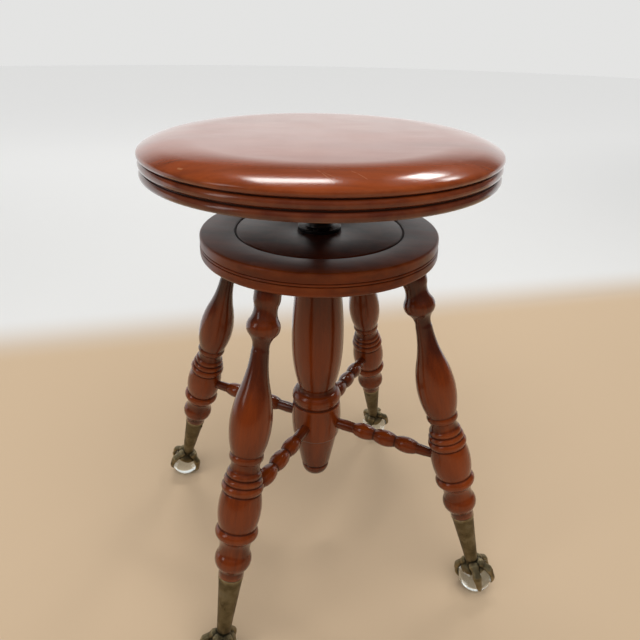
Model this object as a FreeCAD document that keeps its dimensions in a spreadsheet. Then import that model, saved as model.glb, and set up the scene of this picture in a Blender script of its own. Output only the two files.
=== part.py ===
import FreeCAD, Part
import math
import os

import Sketcher

# Revolving piano stool: a turned seat on a screw, a round platform, four splayed legs on claw feet
# Origin on the floor under the middle of the seat, +Z up, the legs at 45 degrees to the X and Y axes

Vector = FreeCAD.Vector
SHEET = "Sizes"

# Driving sizes in millimetres. Heights are above the floor, leg stations run down from the platform
SIZES = {
    # overall heights and radii
    "platform_base": 410.0,
    "platform_thick": 24.0,
    "platform_radius": 126.5,
    "seat_lift": 62.0,
    "seat_thick": 35.0,
    "seat_radius": 178.0,
    "leg_top_radius": 105.0,
    "foot_radius": 225.0,
    # seat rim: two beads between narrow grooves, below a pillow edge
    "bead_height": 8.2,
    "bead_depth": 3.0,
    "groove_width": 1.4,
    "groove_depth": 4.2,
    "seat_lip": 2.0,
    "seat_flat_radius": 128.0,
    # platform rim and its ring groove
    "rim_round": 4.6,
    "rim_bead_level": 10.0,
    "rim_bead_height": 2.8,
    "ring_groove_radius": 89.0,
    "ring_groove_width": 3.4,
    "ring_groove_depth": 1.3,
    # screw, nut and stop
    "thread_lead": 6.35,
    "thread_core_radius": 8.25,
    "thread_offset": 0.75,
    "thread_clearance": 0.45,
    "nut_barrel_radius": 14.0,
    "nut_barrel_length": 44.0,
    "nut_flange_radius": 23.0,
    "nut_flange_thick": 3.4,
    "nut_height": 12.0,
    "screw_rise": 127.0,
    "stop_gap": 0.6,
    "spigot_radius": 5.0,
    "stop_washer_radius": 10.6,
    "stop_washer_thick": 2.4,
    "end_nut_height": 6.0,
    "end_nut_radius": 8.6,
    "end_float": 0.15,
    "mouth_play": 0.3,
    # spider under the seat
    "hub_drop": 26.0,
    "hub_radius": 13.4,
    "spider_thick": 5.0,
    "spider_flange_radius": 32.0,
    "arm_reach": 76.0,
    "arm_width": 17.0,
    "spider_screw_radius": 2.3,
    "spider_screw_head": 4.6,
    "spider_screw_length": 24.0,
    "hub_pin_radius": 2.0,
    "hub_pin_level": 8.0,
    "screw_head_entry": 2.0,
    "screw_head_radius": 9.4,
    # centre post
    "post_drop": 89.0,
    "post_boss_radius": 30.6,
    "post_tenon_radius": 20.0,
    "post_tenon_length": 12.0,
    "post_bore_radius": 11.2,
    "post_bore_spare": 7.4,
    # legs
    "leg_tenon_radius": 10.0,
    "leg_tenon_length": 18.0,
    "leg_barrel_radius": 22.4,
    "ferrule_depth": 36.0,
    "ferrule_radius": 13.4,
    "ferrule_wall": 1.9,
    "ferrule_taper": 2.2,
    # stretchers
    "stretcher_share": 0.752,
    "stretcher_post_radius": 6.4,
    "stretcher_leg_radius": 5.6,
    "stretcher_bead_radius": 9.8,
    "stretcher_waist_radius": 6.6,
    "stretcher_tenon": 16.0,
    # claw feet
    "ball_radius": 19.5,
    "ball_flat": 0.5,
    "claw_height": 96.0,
    "talon_radius": 3.7,
    "talon_gap": 0.15,
    # small fixings
    "nut_screw_radius": 1.5,
    "nut_screw_head": 2.9,
    "nut_screw_length": 13.0,
    "nut_screw_circle": 19.0,
    "nail_radius": 1.0,
    "nail_length": 8.0,
    "nail_head": 2.2,
    "nail_drop": 8.0,
    # fits
    "glue_gap": 0.05,
}

LEG_AZIMUTHS = {"front_left": -135.0, "front_right": -45.0, "back_right": 45.0, "back_left": 135.0}
# Talons round the ball, in degrees from the outward one: three in front and one behind
TALON_AZIMUTHS = (0.0, 62.0, -62.0, 180.0)
SPIDER_ARMS = 4
NUT_SCREWS = 3
# A shape has to lose at least this share of a tool's volume for the cut to count
CUT_SHARE = 0.05
# How far cutting tools start outside the wood or metal they enter
LEAD_IN = 12.0
# Countersunk heads stand this much proud of their seats
HEAD_RIM = 0.3
# A drilled hole's point below its full width
DRILL_POINT = 3.0
# The leg blank runs on this far above the level cut at its top
LEG_BLANK_SPARE = 8.0
# The shortest last winding of a thread, as a share of its lead
LAST_WINDING = 0.25


class Size:
    """A length that knows both its value and the sheet formula it comes from."""

    def __init__(self, value, text):
        self.value = float(value)
        self.text = text

    @staticmethod
    def of(item):
        if isinstance(item, Size):
            return item
        return Size(item, repr(float(item)))

    def __add__(self, other):
        other = Size.of(other)
        return Size(self.value + other.value, f"({self.text} + {other.text})")

    def __radd__(self, other):
        return Size.of(other) + self

    def __sub__(self, other):
        other = Size.of(other)
        return Size(self.value - other.value, f"({self.text} - {other.text})")

    def __rsub__(self, other):
        return Size.of(other) - self

    def __mul__(self, factor):
        factor = Size.of(factor)
        return Size(self.value * factor.value, f"({self.text} * {factor.text})")

    __rmul__ = __mul__

    def __truediv__(self, divisor):
        divisor = Size.of(divisor)
        return Size(self.value / divisor.value, f"({self.text} / {divisor.text})")

    def root(self):
        return Size(math.sqrt(self.value), f"sqrt({self.text})")


class Sizes:
    """The sheet's cells, each read back as a Size."""

    def __init__(self, document):
        self.sheet = document.addObject("Spreadsheet::Sheet", SHEET)
        for row, (alias, value) in enumerate(SIZES.items(), start=1):
            self.sheet.set(f"A{row}", alias)
            self.sheet.set(f"B{row}", str(value))
            self.sheet.setAlias(f"B{row}", alias)
        document.recompute()

    def __getattr__(self, alias):
        return Size(self.sheet.get(alias), f"{SHEET}.{alias}")


doc = FreeCAD.newDocument("piano_stool")
size = Sizes(doc)
nodes = {}

# Levels and lengths that follow from the driving sizes
platform_top = size.platform_base + size.platform_thick
seat_base = platform_top + size.seat_lift
seat_top = seat_base + size.seat_thick
hub_base = seat_base - size.hub_drop
nut_base = platform_top - size.nut_barrel_length
nut_top = platform_top + size.nut_height
thread_base = nut_base - size.screw_rise - size.stop_gap
spigot_base = thread_base - size.stop_washer_thick - size.end_nut_height - 4 * size.end_float
bore_base = spigot_base - (hub_base - nut_top) - size.post_bore_spare
ball_centre = size.ball_radius - size.ball_flat
leg_drop = size.platform_base - ball_centre
leg_spread = size.foot_radius - size.leg_top_radius
leg_axis_length = (leg_drop * leg_drop + leg_spread * leg_spread).root()
leg_length = leg_axis_length - size.claw_height
stretcher_station = leg_length * size.stretcher_share
stretcher_height = size.platform_base - stretcher_station * leg_drop / leg_axis_length
splay = math.atan2(leg_spread.value, leg_drop.value)


def corner(radius, height):
    """A corner of an outline."""
    return Size.of(radius), Size.of(height), False


def via(radius, height):
    """A point that an arc passes through on its way to the next corner."""
    return Size.of(radius), Size.of(height), True


def origin_plane(body, role):
    """The body's own origin plane with this role."""
    for feature in body.Origin.OriginFeatures:
        if feature.Role == role:
            return feature
    raise ValueError(role)


def held_at(sketch, geometry, end, radius, height):
    """Tie one point of a sketch to its two sizes."""
    if abs(radius.value) < 1e-9:
        sketch.addConstraint(Sketcher.Constraint("PointOnObject", geometry, end, -2))
    else:
        index = sketch.addConstraint(
            Sketcher.Constraint("DistanceX", -1, 1, geometry, end, radius.value))
        sketch.setExpression(f"Constraints[{index}]", radius.text)
    if abs(height.value) < 1e-9:
        sketch.addConstraint(Sketcher.Constraint("PointOnObject", geometry, end, -1))
    else:
        index = sketch.addConstraint(
            Sketcher.Constraint("DistanceY", -1, 1, geometry, end, height.value))
        sketch.setExpression(f"Constraints[{index}]", height.text)


def closed_sketch(body, name, role, points):
    """A closed outline of lines and three-point arcs on one of the body's origin planes."""
    sketch = body.newObject("Sketcher::SketchObject", name)
    sketch.AttachmentSupport = [(origin_plane(body, role), "")]
    sketch.MapMode = "FlatFace"
    steps = []
    middle = None
    for point in points[1:] + points[:1]:
        if point[2]:
            middle = point
        else:
            steps.append((middle, point))
            middle = None
    start = points[0]
    ends = []
    for middle, finish in steps:
        first = Vector(start[0].value, start[1].value, 0)
        last = Vector(finish[0].value, finish[1].value, 0)
        if middle is None:
            edge = sketch.addGeometry(Part.LineSegment(first, last), False)
            ends.append((edge, 1, 2))
        else:
            bend = Vector(middle[0].value, middle[1].value, 0)
            if (bend - first).cross(last - first).z < 0:
                edge = sketch.addGeometry(Part.Arc(last, bend, first), False)
                ends.append((edge, 2, 1))
            else:
                edge = sketch.addGeometry(Part.Arc(first, bend, last), False)
                ends.append((edge, 1, 2))
            mark = sketch.addGeometry(Part.Point(bend), True)
            sketch.addConstraint(Sketcher.Constraint("PointOnObject", mark, 1, edge))
            held_at(sketch, mark, 1, middle[0], middle[1])
        held_at(sketch, edge, ends[-1][1], start[0], start[1])
        start = finish
    for (edge, _, tail), (follower, head, _) in zip(ends, ends[1:] + ends[:1]):
        sketch.addConstraint(Sketcher.Constraint("Coincident", edge, tail, follower, head))
    return sketch


def turned(label, points, placement=None):
    """A body turned about its own Z axis from an outline of radius against height."""
    body = doc.addObject("PartDesign::Body", label)
    body.Label = label
    sketch = closed_sketch(body, label + "_outline", "XZ_Plane", points)
    turning = body.newObject("PartDesign::Revolution", label + "_turning")
    turning.Profile = sketch
    turning.ReferenceAxis = (sketch, ["V_Axis"])
    turning.Angle = 360
    body.Tip = turning
    if placement is not None:
        body.Placement = placement
    doc.recompute()
    return body


def along(direction, point):
    """A placement that puts a tool's own Z axis along a direction, from a point."""
    return FreeCAD.Placement(point, FreeCAD.Rotation(Vector(0, 0, 1), direction))


def bored(body, name, radius, depth, placement, copies=1):
    """Drill a round hole into a body, once or as a ring of equal copies about its Z axis."""
    before = body.Shape.Volume
    tool = body.newObject("PartDesign::SubtractiveCylinder", name)
    tool.Placement = placement
    tool.Radius = radius.value
    tool.Height = depth.value
    tool.setExpression("Radius", radius.text)
    tool.setExpression("Height", depth.text)
    body.Tip = tool
    doc.recompute()
    ringed(body, tool, name + "_ring", copies)
    lost = before - body.Shape.Volume
    if lost < CUT_SHARE * copies * math.pi * radius.value ** 2 * depth.value:
        raise ValueError(name + " cuts nothing")
    return tool


def ringed(body, feature, name, copies):
    """Repeat a feature evenly about the body's Z axis."""
    if copies < 2:
        return
    ring = body.newObject("PartDesign::PolarPattern", name)
    ring.Originals = [feature]
    axis = [item for item in body.Origin.OriginFeatures if item.Role == "Z_Axis"][0]
    ring.Axis = (axis, [""])
    ring.Angle = 360
    ring.Occurrences = copies
    body.Tip = ring
    doc.recompute()


def keep(label, item):
    """Put a finished piece in the list of nodes."""
    item.Label = label
    nodes[label] = item
    return item


def radial(azimuth, radius, height):
    """A point at an azimuth in degrees, a radius and a height."""
    angle = math.radians(azimuth)
    return Vector(radius * math.cos(angle), radius * math.sin(angle), height)


def leg_placement(azimuth):
    """The leg's frame: +Z down the leg from the end of its tenon, +X outwards."""
    outward = radial(azimuth, 1.0, 0.0)
    down = outward * math.sin(splay) + Vector(0, 0, -math.cos(splay))
    across = outward * math.cos(splay) + Vector(0, 0, math.sin(splay))
    turn = FreeCAD.Rotation(across, down.cross(across), down, "ZXY")
    shoulder = radial(azimuth, size.leg_top_radius.value, size.platform_base.value)
    return FreeCAD.Placement(shoulder - down * size.leg_tenon_length.value, turn)


def merged(label, shapes, placement=None):
    """One solid piece fused from several."""
    fuse = doc.addObject("Part::MultiFuse", label)
    fuse.Shapes = shapes
    fuse.Refine = True
    if placement is not None:
        fuse.Placement = placement
    doc.recompute()
    return fuse


def formed(label, shape, placement=None):
    """A piece whose shape is worked out directly."""
    item = doc.addObject("Part::Feature", label)
    item.Shape = shape
    if placement is not None:
        item.Placement = placement
    return item


# Seat

def seat():
    """Thick round board: flat underside, two rim beads, a pillow edge and a flat middle."""
    rim = size.seat_radius
    shoulder = rim - size.bead_depth
    deep = rim - size.groove_depth
    step = size.bead_height + size.groove_width
    lip = seat_base + 2 * step
    points = [corner(0, seat_base)]
    for index in range(2):
        low = seat_base + index * step
        points += [corner(shoulder, low), via(rim - 0.4, low + size.bead_height / 2),
                   corner(shoulder, low + size.bead_height), corner(deep, low + size.bead_height),
                   corner(deep, low + step)]
    shelf = size.seat_flat_radius
    width = rim - shelf
    fall = seat_top - lip
    points += [corner(rim - size.seat_lip, lip), via(rim, lip + 0.2 * fall),
               corner(rim - 1.1 * size.seat_lip, lip + 0.42 * fall),
               via(shelf + 0.773 * width, seat_top - 0.321 * fall),
               corner(shelf + 0.58 * width, seat_top - 0.16 * fall),
               via(shelf + 0.29 * width, seat_top - 0.04 * fall),
               corner(shelf, seat_top), corner(0, seat_top)]
    body = turned("seat", points)
    hole = size.spider_screw_radius + size.glue_gap
    depth = size.spider_screw_length - size.spider_thick + 1.0
    spot = Vector(size.arm_reach.value, 0, seat_base.value - 1.0)
    bored(body, "seat_screw_hole", hole, depth, along(Vector(0, 0, 1), spot), SPIDER_ARMS)
    keep("seat", body)


# Spider, its screws and its pin

# The pin crosses the hub between two arms; its drill passes right through the hub
PIN_AZIMUTH = 45.0
pin_length = 2 * size.hub_radius - 2.2
pin_drill_length = 4 * size.hub_radius


def pin_line(length):
    """A placement along the pin's line, centred on the screw for this length."""
    axis = radial(PIN_AZIMUTH, 1.0, 0.0)
    return along(axis, axis * (-length.value / 2) + Vector(0, 0, (hub_base + size.hub_pin_level).value))


def spider():
    """Cast hub with a flared foot and four flat arms, each with a countersunk screw hole."""
    bore = size.screw_head_radius + size.glue_gap
    plate = seat_base - size.spider_thick
    points = [corner(bore, hub_base), corner(size.hub_radius - 0.8, hub_base),
              corner(size.hub_radius, hub_base + 1.2), corner(size.hub_radius + 2.2, hub_base + 11.0),
              via(size.hub_radius + 5.6, plate - 3.0), corner(size.spider_flange_radius, plate + 0.6),
              corner(size.spider_flange_radius + 1.4, seat_base), corner(bore, seat_base)]
    body = turned("seat_spider", points)
    sketch = body.newObject("Sketcher::SketchObject", "arm_outline")
    sketch.AttachmentSupport = [(origin_plane(body, "XY_Plane"), "")]
    sketch.MapMode = "FlatFace"
    sketch.AttachmentOffset = FreeCAD.Placement(Vector(0, 0, plate.value), FreeCAD.Rotation())
    sketch.setExpression("AttachmentOffset.Base.z", plate.text)
    inset = size.spider_flange_radius - size.arm_width / 2
    start = inset.value
    half = size.arm_width.value / 2
    reach = size.arm_reach.value
    lower = sketch.addGeometry(Part.LineSegment(Vector(start, -half, 0), Vector(reach, -half, 0)), False)
    tip = sketch.addGeometry(
        Part.Arc(Vector(reach, -half, 0), Vector(reach + half, 0, 0), Vector(reach, half, 0)), False)
    upper = sketch.addGeometry(Part.LineSegment(Vector(reach, half, 0), Vector(start, half, 0)), False)
    root = sketch.addGeometry(Part.LineSegment(Vector(start, half, 0), Vector(start, -half, 0)), False)
    for first, second in ((upper, root), (root, lower)):
        sketch.addConstraint(Sketcher.Constraint("Coincident", first, 2, second, 1))
    sketch.addConstraint(Sketcher.Constraint("Tangent", lower, 2, tip, 1))
    sketch.addConstraint(Sketcher.Constraint("Tangent", tip, 2, upper, 1))
    sketch.addConstraint(Sketcher.Constraint("Vertical", root))
    sketch.addConstraint(Sketcher.Constraint("PointOnObject", tip, 3, -1))
    place = sketch.addConstraint(Sketcher.Constraint("DistanceX", -1, 1, tip, 3, reach))
    sketch.setExpression(f"Constraints[{place}]", size.arm_reach.text)
    place = sketch.addConstraint(Sketcher.Constraint("Radius", tip, half))
    sketch.setExpression(f"Constraints[{place}]", (size.arm_width / 2).text)
    place = sketch.addConstraint(Sketcher.Constraint("DistanceX", -1, 1, root, 1, start))
    sketch.setExpression(f"Constraints[{place}]", inset.text)
    sketch.addConstraint(Sketcher.Constraint("Horizontal", lower))
    sketch.addConstraint(Sketcher.Constraint("Horizontal", upper))
    arm = body.newObject("PartDesign::Pad", "arm")
    arm.Profile = sketch
    arm.setExpression("Length", size.spider_thick.text)
    body.Tip = arm
    doc.recompute()
    ringed(body, arm, "arms", SPIDER_ARMS)
    hole = size.spider_screw_radius + size.glue_gap
    spot = Vector(reach, 0, plate.value - LEAD_IN / 2)
    bored(body, "arm_hole", hole, size.spider_thick + LEAD_IN, along(Vector(0, 0, 1), spot), SPIDER_ARMS)
    sink = body.newObject("PartDesign::SubtractiveCone", "arm_countersink")
    sink.setExpression("Radius1", (size.spider_screw_head + 2 * size.glue_gap).text)
    sink.setExpression("Radius2", hole.text)
    sink.setExpression("Height", (size.spider_screw_head - size.spider_screw_radius).text)
    sink.Placement = FreeCAD.Placement(Vector(reach, 0, plate.value), FreeCAD.Rotation())
    body.Tip = sink
    doc.recompute()
    ringed(body, sink, "countersinks", SPIDER_ARMS)
    bored(body, "pin_hole", size.hub_pin_radius + size.glue_gap, pin_drill_length, pin_line(pin_drill_length))
    keep("seat_spider", body)


def flat_head_screw(name, radius, head, length):
    """A wood screw on its head, pointing up: cone head, round shank and a sharp point."""
    point = radius * 2.4
    return turned(name, [corner(0, 0), corner(head, 0), corner(head, HEAD_RIM),
                         corner(radius, head - radius + HEAD_RIM), corner(radius, length - point),
                         corner(0, length)])


def slotted(body, name, head):
    """Cut the driver slot across a screw's head."""
    slot = body.newObject("PartDesign::SubtractiveBox", name)
    slot.Length = head.value * 2.4
    slot.Width = head.value * 0.28
    slot.Height = head.value * 0.3
    slot.Placement.Base = Vector(-slot.Length.Value / 2, -slot.Width.Value / 2, 0)
    body.Tip = slot
    doc.recompute()


def ring_of(label, piece, placements):
    """A group of equal loose pieces in one node."""
    copies = []
    for placement in placements:
        copy = piece.Shape.copy()
        copy.Placement = placement.multiply(copy.Placement)
        copies.append(copy)
    keep(label, formed(label, Part.makeCompound(copies)))


def spider_screws():
    """The four wood screws that hold the spider to the seat."""
    screw = flat_head_screw("spider_screw", size.spider_screw_radius, size.spider_screw_head,
                            size.spider_screw_length)
    slotted(screw, "spider_screw_slot", size.spider_screw_head)
    level = (seat_base - size.spider_thick).value - HEAD_RIM
    places = []
    for index in range(SPIDER_ARMS):
        spot = radial(360.0 * index / SPIDER_ARMS, size.arm_reach.value, level)
        places.append(FreeCAD.Placement(spot, FreeCAD.Rotation(Vector(0, 0, 1), 30.0 * index + 12.0)))
    ring_of("spider_screws", screw, places)


def hub_pin():
    """The cross pin that locks the screw in the hub."""
    pin = doc.addObject("Part::Cylinder", "hub_pin")
    pin.setExpression("Radius", size.hub_pin_radius.text)
    pin.setExpression("Height", pin_length.text)
    pin.Placement = pin_line(pin_length)
    doc.recompute()
    keep("hub_pin", pin)


# Screw, nut and stop

def thread_winding(radius, rise):
    """One winding of a round rod whose middle goes about the axis, as a solid of that rise."""
    offset = size.thread_offset.value
    spine = Part.Wire(Part.makeHelix(size.thread_lead.value, rise, offset).Edges)
    shell = Part.BRepOffsetAPI.MakePipeShell(spine)
    shell.setTrihedronMode(Vector(0, 0, 0), Vector(0, 0, 1))
    section = Part.Circle(Vector(offset, 0, 0), Vector(0, 0, 1), radius)
    shell.add(Part.Wire([section.toShape()]))
    shell.build()
    shell.makeSolid()
    return shell.shape()


def rounded_thread(radius, low, high):
    """A coarse rounded thread, its windings stacked into one skin with a flat at each end."""
    lead = size.thread_lead.value
    whole = int((high - low) / lead - LAST_WINDING)
    rest = high - low - whole * lead
    ends = 0.1 * rest
    windings = [thread_winding(radius, lead)] * whole + [thread_winding(radius, rest)]
    faces = []
    for index, winding in enumerate(windings):
        placed = winding.translated(Vector(0, 0, index * lead))
        for face in placed.Faces:
            level = face.CenterOfMass.z
            if face.BoundBox.ZLength > ends or not ends < level < high - low - ends:
                faces.append(face)
    skin = Part.Shell(faces)
    skin.sewShape()
    rod = Part.Solid(skin)
    if not rod.isValid() or abs(rod.Volume / (math.pi * radius ** 2 * (high - low)) - 1) > 0.001:
        raise ValueError("thread")
    rod.rotate(Vector(0, 0, 0), Vector(0, 0, 1), 360.0 * low / lead)
    rod.translate(Vector(0, 0, low))
    return rod


def lead_screw():
    """The seat's screw: plain head, long rounded thread and a spigot for the stop."""
    joint = hub_base + size.screw_head_entry
    thread = formed("screw_thread", rounded_thread(
        size.thread_core_radius.value, thread_base.value, joint.value + 0.5))
    head = doc.addObject("Part::Cylinder", "screw_head")
    head.setExpression("Radius", size.screw_head_radius.text)
    head.setExpression("Height", (seat_base - joint).text)
    head.setExpression("Placement.Base.z", joint.text)
    spigot = doc.addObject("Part::Cylinder", "screw_spigot")
    spigot.setExpression("Radius", size.spigot_radius.text)
    spigot.setExpression("Height", (thread_base - spigot_base + 1.0).text)
    spigot.setExpression("Placement.Base.z", spigot_base.text)
    blank = merged("screw_blank", [head, thread, spigot])
    drill = doc.addObject("Part::Cylinder", "screw_pin_hole")
    drill.setExpression("Radius", (size.hub_pin_radius + size.glue_gap).text)
    drill.setExpression("Height", pin_drill_length.text)
    drill.Placement = pin_line(pin_drill_length)
    cut = doc.addObject("Part::Cut", "lead_screw")
    cut.Base = blank
    cut.Tool = drill
    doc.recompute()
    keep("lead_screw", cut)


def screw_nut():
    """The cast nut let into the platform: long barrel, flange and a low dome round the screw."""
    barrel = size.nut_barrel_radius
    flange = size.nut_flange_radius
    lip = platform_top + size.nut_flange_thick
    mouth = size.thread_core_radius + size.thread_offset + size.thread_clearance + size.mouth_play
    inner = size.thread_core_radius - 3.0
    points = [corner(inner, nut_base), corner(barrel - 0.8, nut_base), corner(barrel, nut_base + 0.8),
              corner(barrel, platform_top), corner(flange, platform_top), corner(flange, lip - 1.0),
              via(flange - 0.4, lip - 0.2), corner(flange - 1.2, lip),
              corner(barrel + 1.2, lip + 0.8), via(barrel, lip + 3.6),
              corner(mouth + 2.0, nut_top), corner(mouth, nut_top), corner(inner, nut_top - 3.6)]
    blank = turned("nut_blank", points)
    circle = size.nut_screw_circle.value
    hole = size.nut_screw_radius + size.glue_gap
    bored(blank, "nut_screw_hole", hole, size.nut_flange_thick + LEAD_IN,
          along(Vector(0, 0, 1), Vector(circle, 0, platform_top.value - LEAD_IN / 2)), NUT_SCREWS)
    seatings = []
    for index in range(NUT_SCREWS):
        cone = doc.addObject("Part::Cone", f"nut_countersink_{index}")
        cone.setExpression("Radius1", hole.text)
        cone.setExpression("Radius2", (size.nut_screw_head + 2 * size.glue_gap).text)
        cone.setExpression("Height", (size.nut_screw_head - size.nut_screw_radius + size.glue_gap).text)
        drop = size.nut_screw_head - size.nut_screw_radius
        cone.Placement.Base = radial(360.0 * index / NUT_SCREWS, circle, (lip - drop).value)
        seatings.append(cone)
        well = doc.addObject("Part::Cylinder", f"nut_head_well_{index}")
        well.setExpression("Radius", (size.nut_screw_head + 2 * size.glue_gap).text)
        well.setExpression("Height", size.nut_height.text)
        well.Placement.Base = radial(360.0 * index / NUT_SCREWS, circle, lip.value)
        seatings.append(well)
    bore = formed("nut_thread", rounded_thread(
        (size.thread_core_radius + size.thread_clearance).value,
        nut_base.value - LEAD_IN / 2, nut_top.value + LEAD_IN / 2))
    cutters = merged("nut_cutters", seatings + [bore])
    nut = doc.addObject("Part::Cut", "screw_nut")
    nut.Base = blank
    nut.Tool = cutters
    doc.recompute()
    keep("screw_nut", nut)


def nut_screws():
    """The small wood screws through the nut's flange."""
    screw = flat_head_screw("nut_screw", size.nut_screw_radius, size.nut_screw_head,
                            size.nut_screw_length)
    slotted(screw, "nut_screw_slot", size.nut_screw_head)
    level = (platform_top + size.nut_flange_thick).value + HEAD_RIM
    places = []
    for index in range(NUT_SCREWS):
        spot = radial(360.0 * index / NUT_SCREWS, size.nut_screw_circle.value, level)
        flip = FreeCAD.Rotation(Vector(1, 0, 0), 180.0)
        spin = FreeCAD.Rotation(Vector(0, 0, 1), 50.0 * index)
        places.append(FreeCAD.Placement(spot, spin.multiply(flip)))
    ring_of("nut_screws", screw, places)


def screw_stop():
    """The loose washer and the end nut that stop the screw from leaving its nut."""
    top = thread_base - size.end_float
    low = top - size.stop_washer_thick
    hole = size.spigot_radius + 2 * size.glue_gap
    keep("stop_washer", turned("stop_washer", [
        corner(hole, low), corner(size.stop_washer_radius - 0.4, low),
        corner(size.stop_washer_radius, low + 0.4), corner(size.stop_washer_radius, top - 0.4),
        corner(size.stop_washer_radius - 0.4, top), corner(hole, top)]))
    prism = doc.addObject("Part::Prism", "end_nut_blank")
    prism.Polygon = 6
    prism.setExpression("Circumradius", size.end_nut_radius.text)
    prism.setExpression("Height", size.end_nut_height.text)
    prism.setExpression("Placement.Base.z", (low - size.end_float - size.end_nut_height).text)
    hole = doc.addObject("Part::Cylinder", "end_nut_hole")
    hole.setExpression("Radius", (size.spigot_radius + size.glue_gap).text)
    hole.setExpression("Height", (size.end_nut_height + 2.0).text)
    hole.setExpression("Placement.Base.z", (low - size.end_float - size.end_nut_height - 1.0).text)
    nut = doc.addObject("Part::Cut", "end_nut")
    nut.Base = prism
    nut.Tool = hole
    doc.recompute()
    keep("end_nut", nut)


# Platform and centre post

def platform():
    """Round board with a moulded rim, a ring groove, the nut's hole and the joints' sockets."""
    rim = size.platform_radius
    base = size.platform_base
    mid = base + size.rim_bead_level
    bead = size.rim_bead_height
    ring = size.ring_groove_radius
    half = size.ring_groove_width / 2
    socket = size.post_tenon_radius + size.glue_gap
    shaft = size.nut_barrel_radius + size.glue_gap
    points = [corner(socket, base), corner(rim - size.rim_round, base),
              via(rim - 1.1, base + 1.3), corner(rim, base + size.rim_round),
              corner(rim, mid), corner(rim - 1.5, mid + 0.7),
              via(rim - 0.2, mid + 0.7 + bead / 2), corner(rim - 1.5, mid + 0.7 + bead),
              corner(rim - 0.5, mid + 1.4 + bead), corner(rim - 0.5, platform_top - 2.4),
              via(rim - 1.2, platform_top - 0.7), corner(rim - 2.9, platform_top),
              corner(ring + half, platform_top), via(ring, platform_top - size.ring_groove_depth),
              corner(ring - half, platform_top), corner(shaft, platform_top),
              corner(shaft, base + size.post_tenon_length), corner(socket, base + size.post_tenon_length)]
    body = turned("platform", points)
    place = leg_placement(LEG_AZIMUTHS["back_right"])
    # The socket starts below the board so that it opens cleanly, and ends past the tenon
    up = place.Rotation.multVec(Vector(0, 0, -1))
    mouth = place.multVec(Vector(0, 0, size.leg_tenon_length.value + LEAD_IN))
    bored(body, "leg_socket", size.leg_tenon_radius + size.glue_gap,
          size.leg_tenon_length + LEAD_IN + 0.5, along(up, mouth), len(LEG_AZIMUTHS))
    depth = size.nut_screw_length - size.nut_flange_thick + 1.0
    spot = Vector(size.nut_screw_circle.value, 0, (platform_top + 1.0 - depth).value)
    bored(body, "nut_screw_pilot", size.nut_screw_radius + size.glue_gap, depth,
          along(Vector(0, 0, 1), spot), NUT_SCREWS)
    keep("platform", body)


# Turned outline of the post in four runs: height within the run, radius, whether an arc passes through
# Pendant: heights above the tip
POST_PENDANT = (
    (0.0, 0.0, False), (4.6, 13.2, True), (16.4, 17.4, False), (17.6, 16.4, False),
    (19.4, 16.4, False), (20.8, 18.6, False), (36.0, 21.4, True),
)
# Boss: heights from the stretchers' line
POST_BOSS = (
    (-24.0, 26.6, False), (-21.6, 27.2, False), (-20.0, 29.0, False), (2.0, 30.6, True),
    (24.6, 29.2, False), (25.6, 27.4, False), (27.0, 27.4, False), (28.2, 28.0, False),
    (35.6, 29.8, True), (43.4, 25.6, False), (46.2, 22.2, True), (51.0, 22.6, False),
)
# Vase: shares of the way from the boss up to the collar
POST_VASE = (
    (0.125, 27.2, True), (0.294, 30.2, False), (0.4375, 30.5, True), (0.5875, 29.4, False),
    (0.794, 26.4, True),
)
# Collar: heights from the platform's underside
POST_COLLAR = (
    (-14.0, 23.2, False), (-11.0, 23.4, True), (-8.4, 25.4, False), (-5.0, 27.2, True),
    (-1.6, 25.8, False), (0.0, 25.8, False),
)


def centre_post():
    """Turned pendant: tenon, collar, long vase, ring, boss for the stretchers and a button."""
    base = size.platform_base
    mid = stretcher_height
    barrel = size.nut_barrel_radius + size.glue_gap
    bore = size.post_bore_radius
    tenon = size.post_tenon_radius
    step = nut_base - 2.0
    tenon_top = base + size.post_tenon_length - 0.5
    foot = mid + POST_BOSS[-1][0]
    reach = base + POST_COLLAR[0][0] - foot
    points = [(Size.of(wide), mid - size.post_drop + rise, bends) for rise, wide, bends in POST_PENDANT]
    points += [(Size.of(wide), mid + rise, bends) for rise, wide, bends in POST_BOSS]
    points += [(Size.of(wide), foot + share * reach, bends) for share, wide, bends in POST_VASE]
    points += [(Size.of(wide), base + rise, bends) for rise, wide, bends in POST_COLLAR]
    points += [corner(tenon, base), corner(tenon, tenon_top), corner(barrel, tenon_top),
               corner(barrel, step), corner(bore, step), corner(bore, bore_base),
               corner(0, bore_base - DRILL_POINT)]
    body = turned("centre_post", points)
    spot = radial(45.0, size.post_boss_radius.value + LEAD_IN, mid.value)
    bored(body, "stretcher_socket", size.stretcher_post_radius + size.glue_gap,
          size.stretcher_tenon + 0.5 + LEAD_IN, along(radial(45.0, -1.0, 0.0), spot), len(LEG_AZIMUTHS))
    keep("centre_post", body)


# Legs and stretchers

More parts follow.
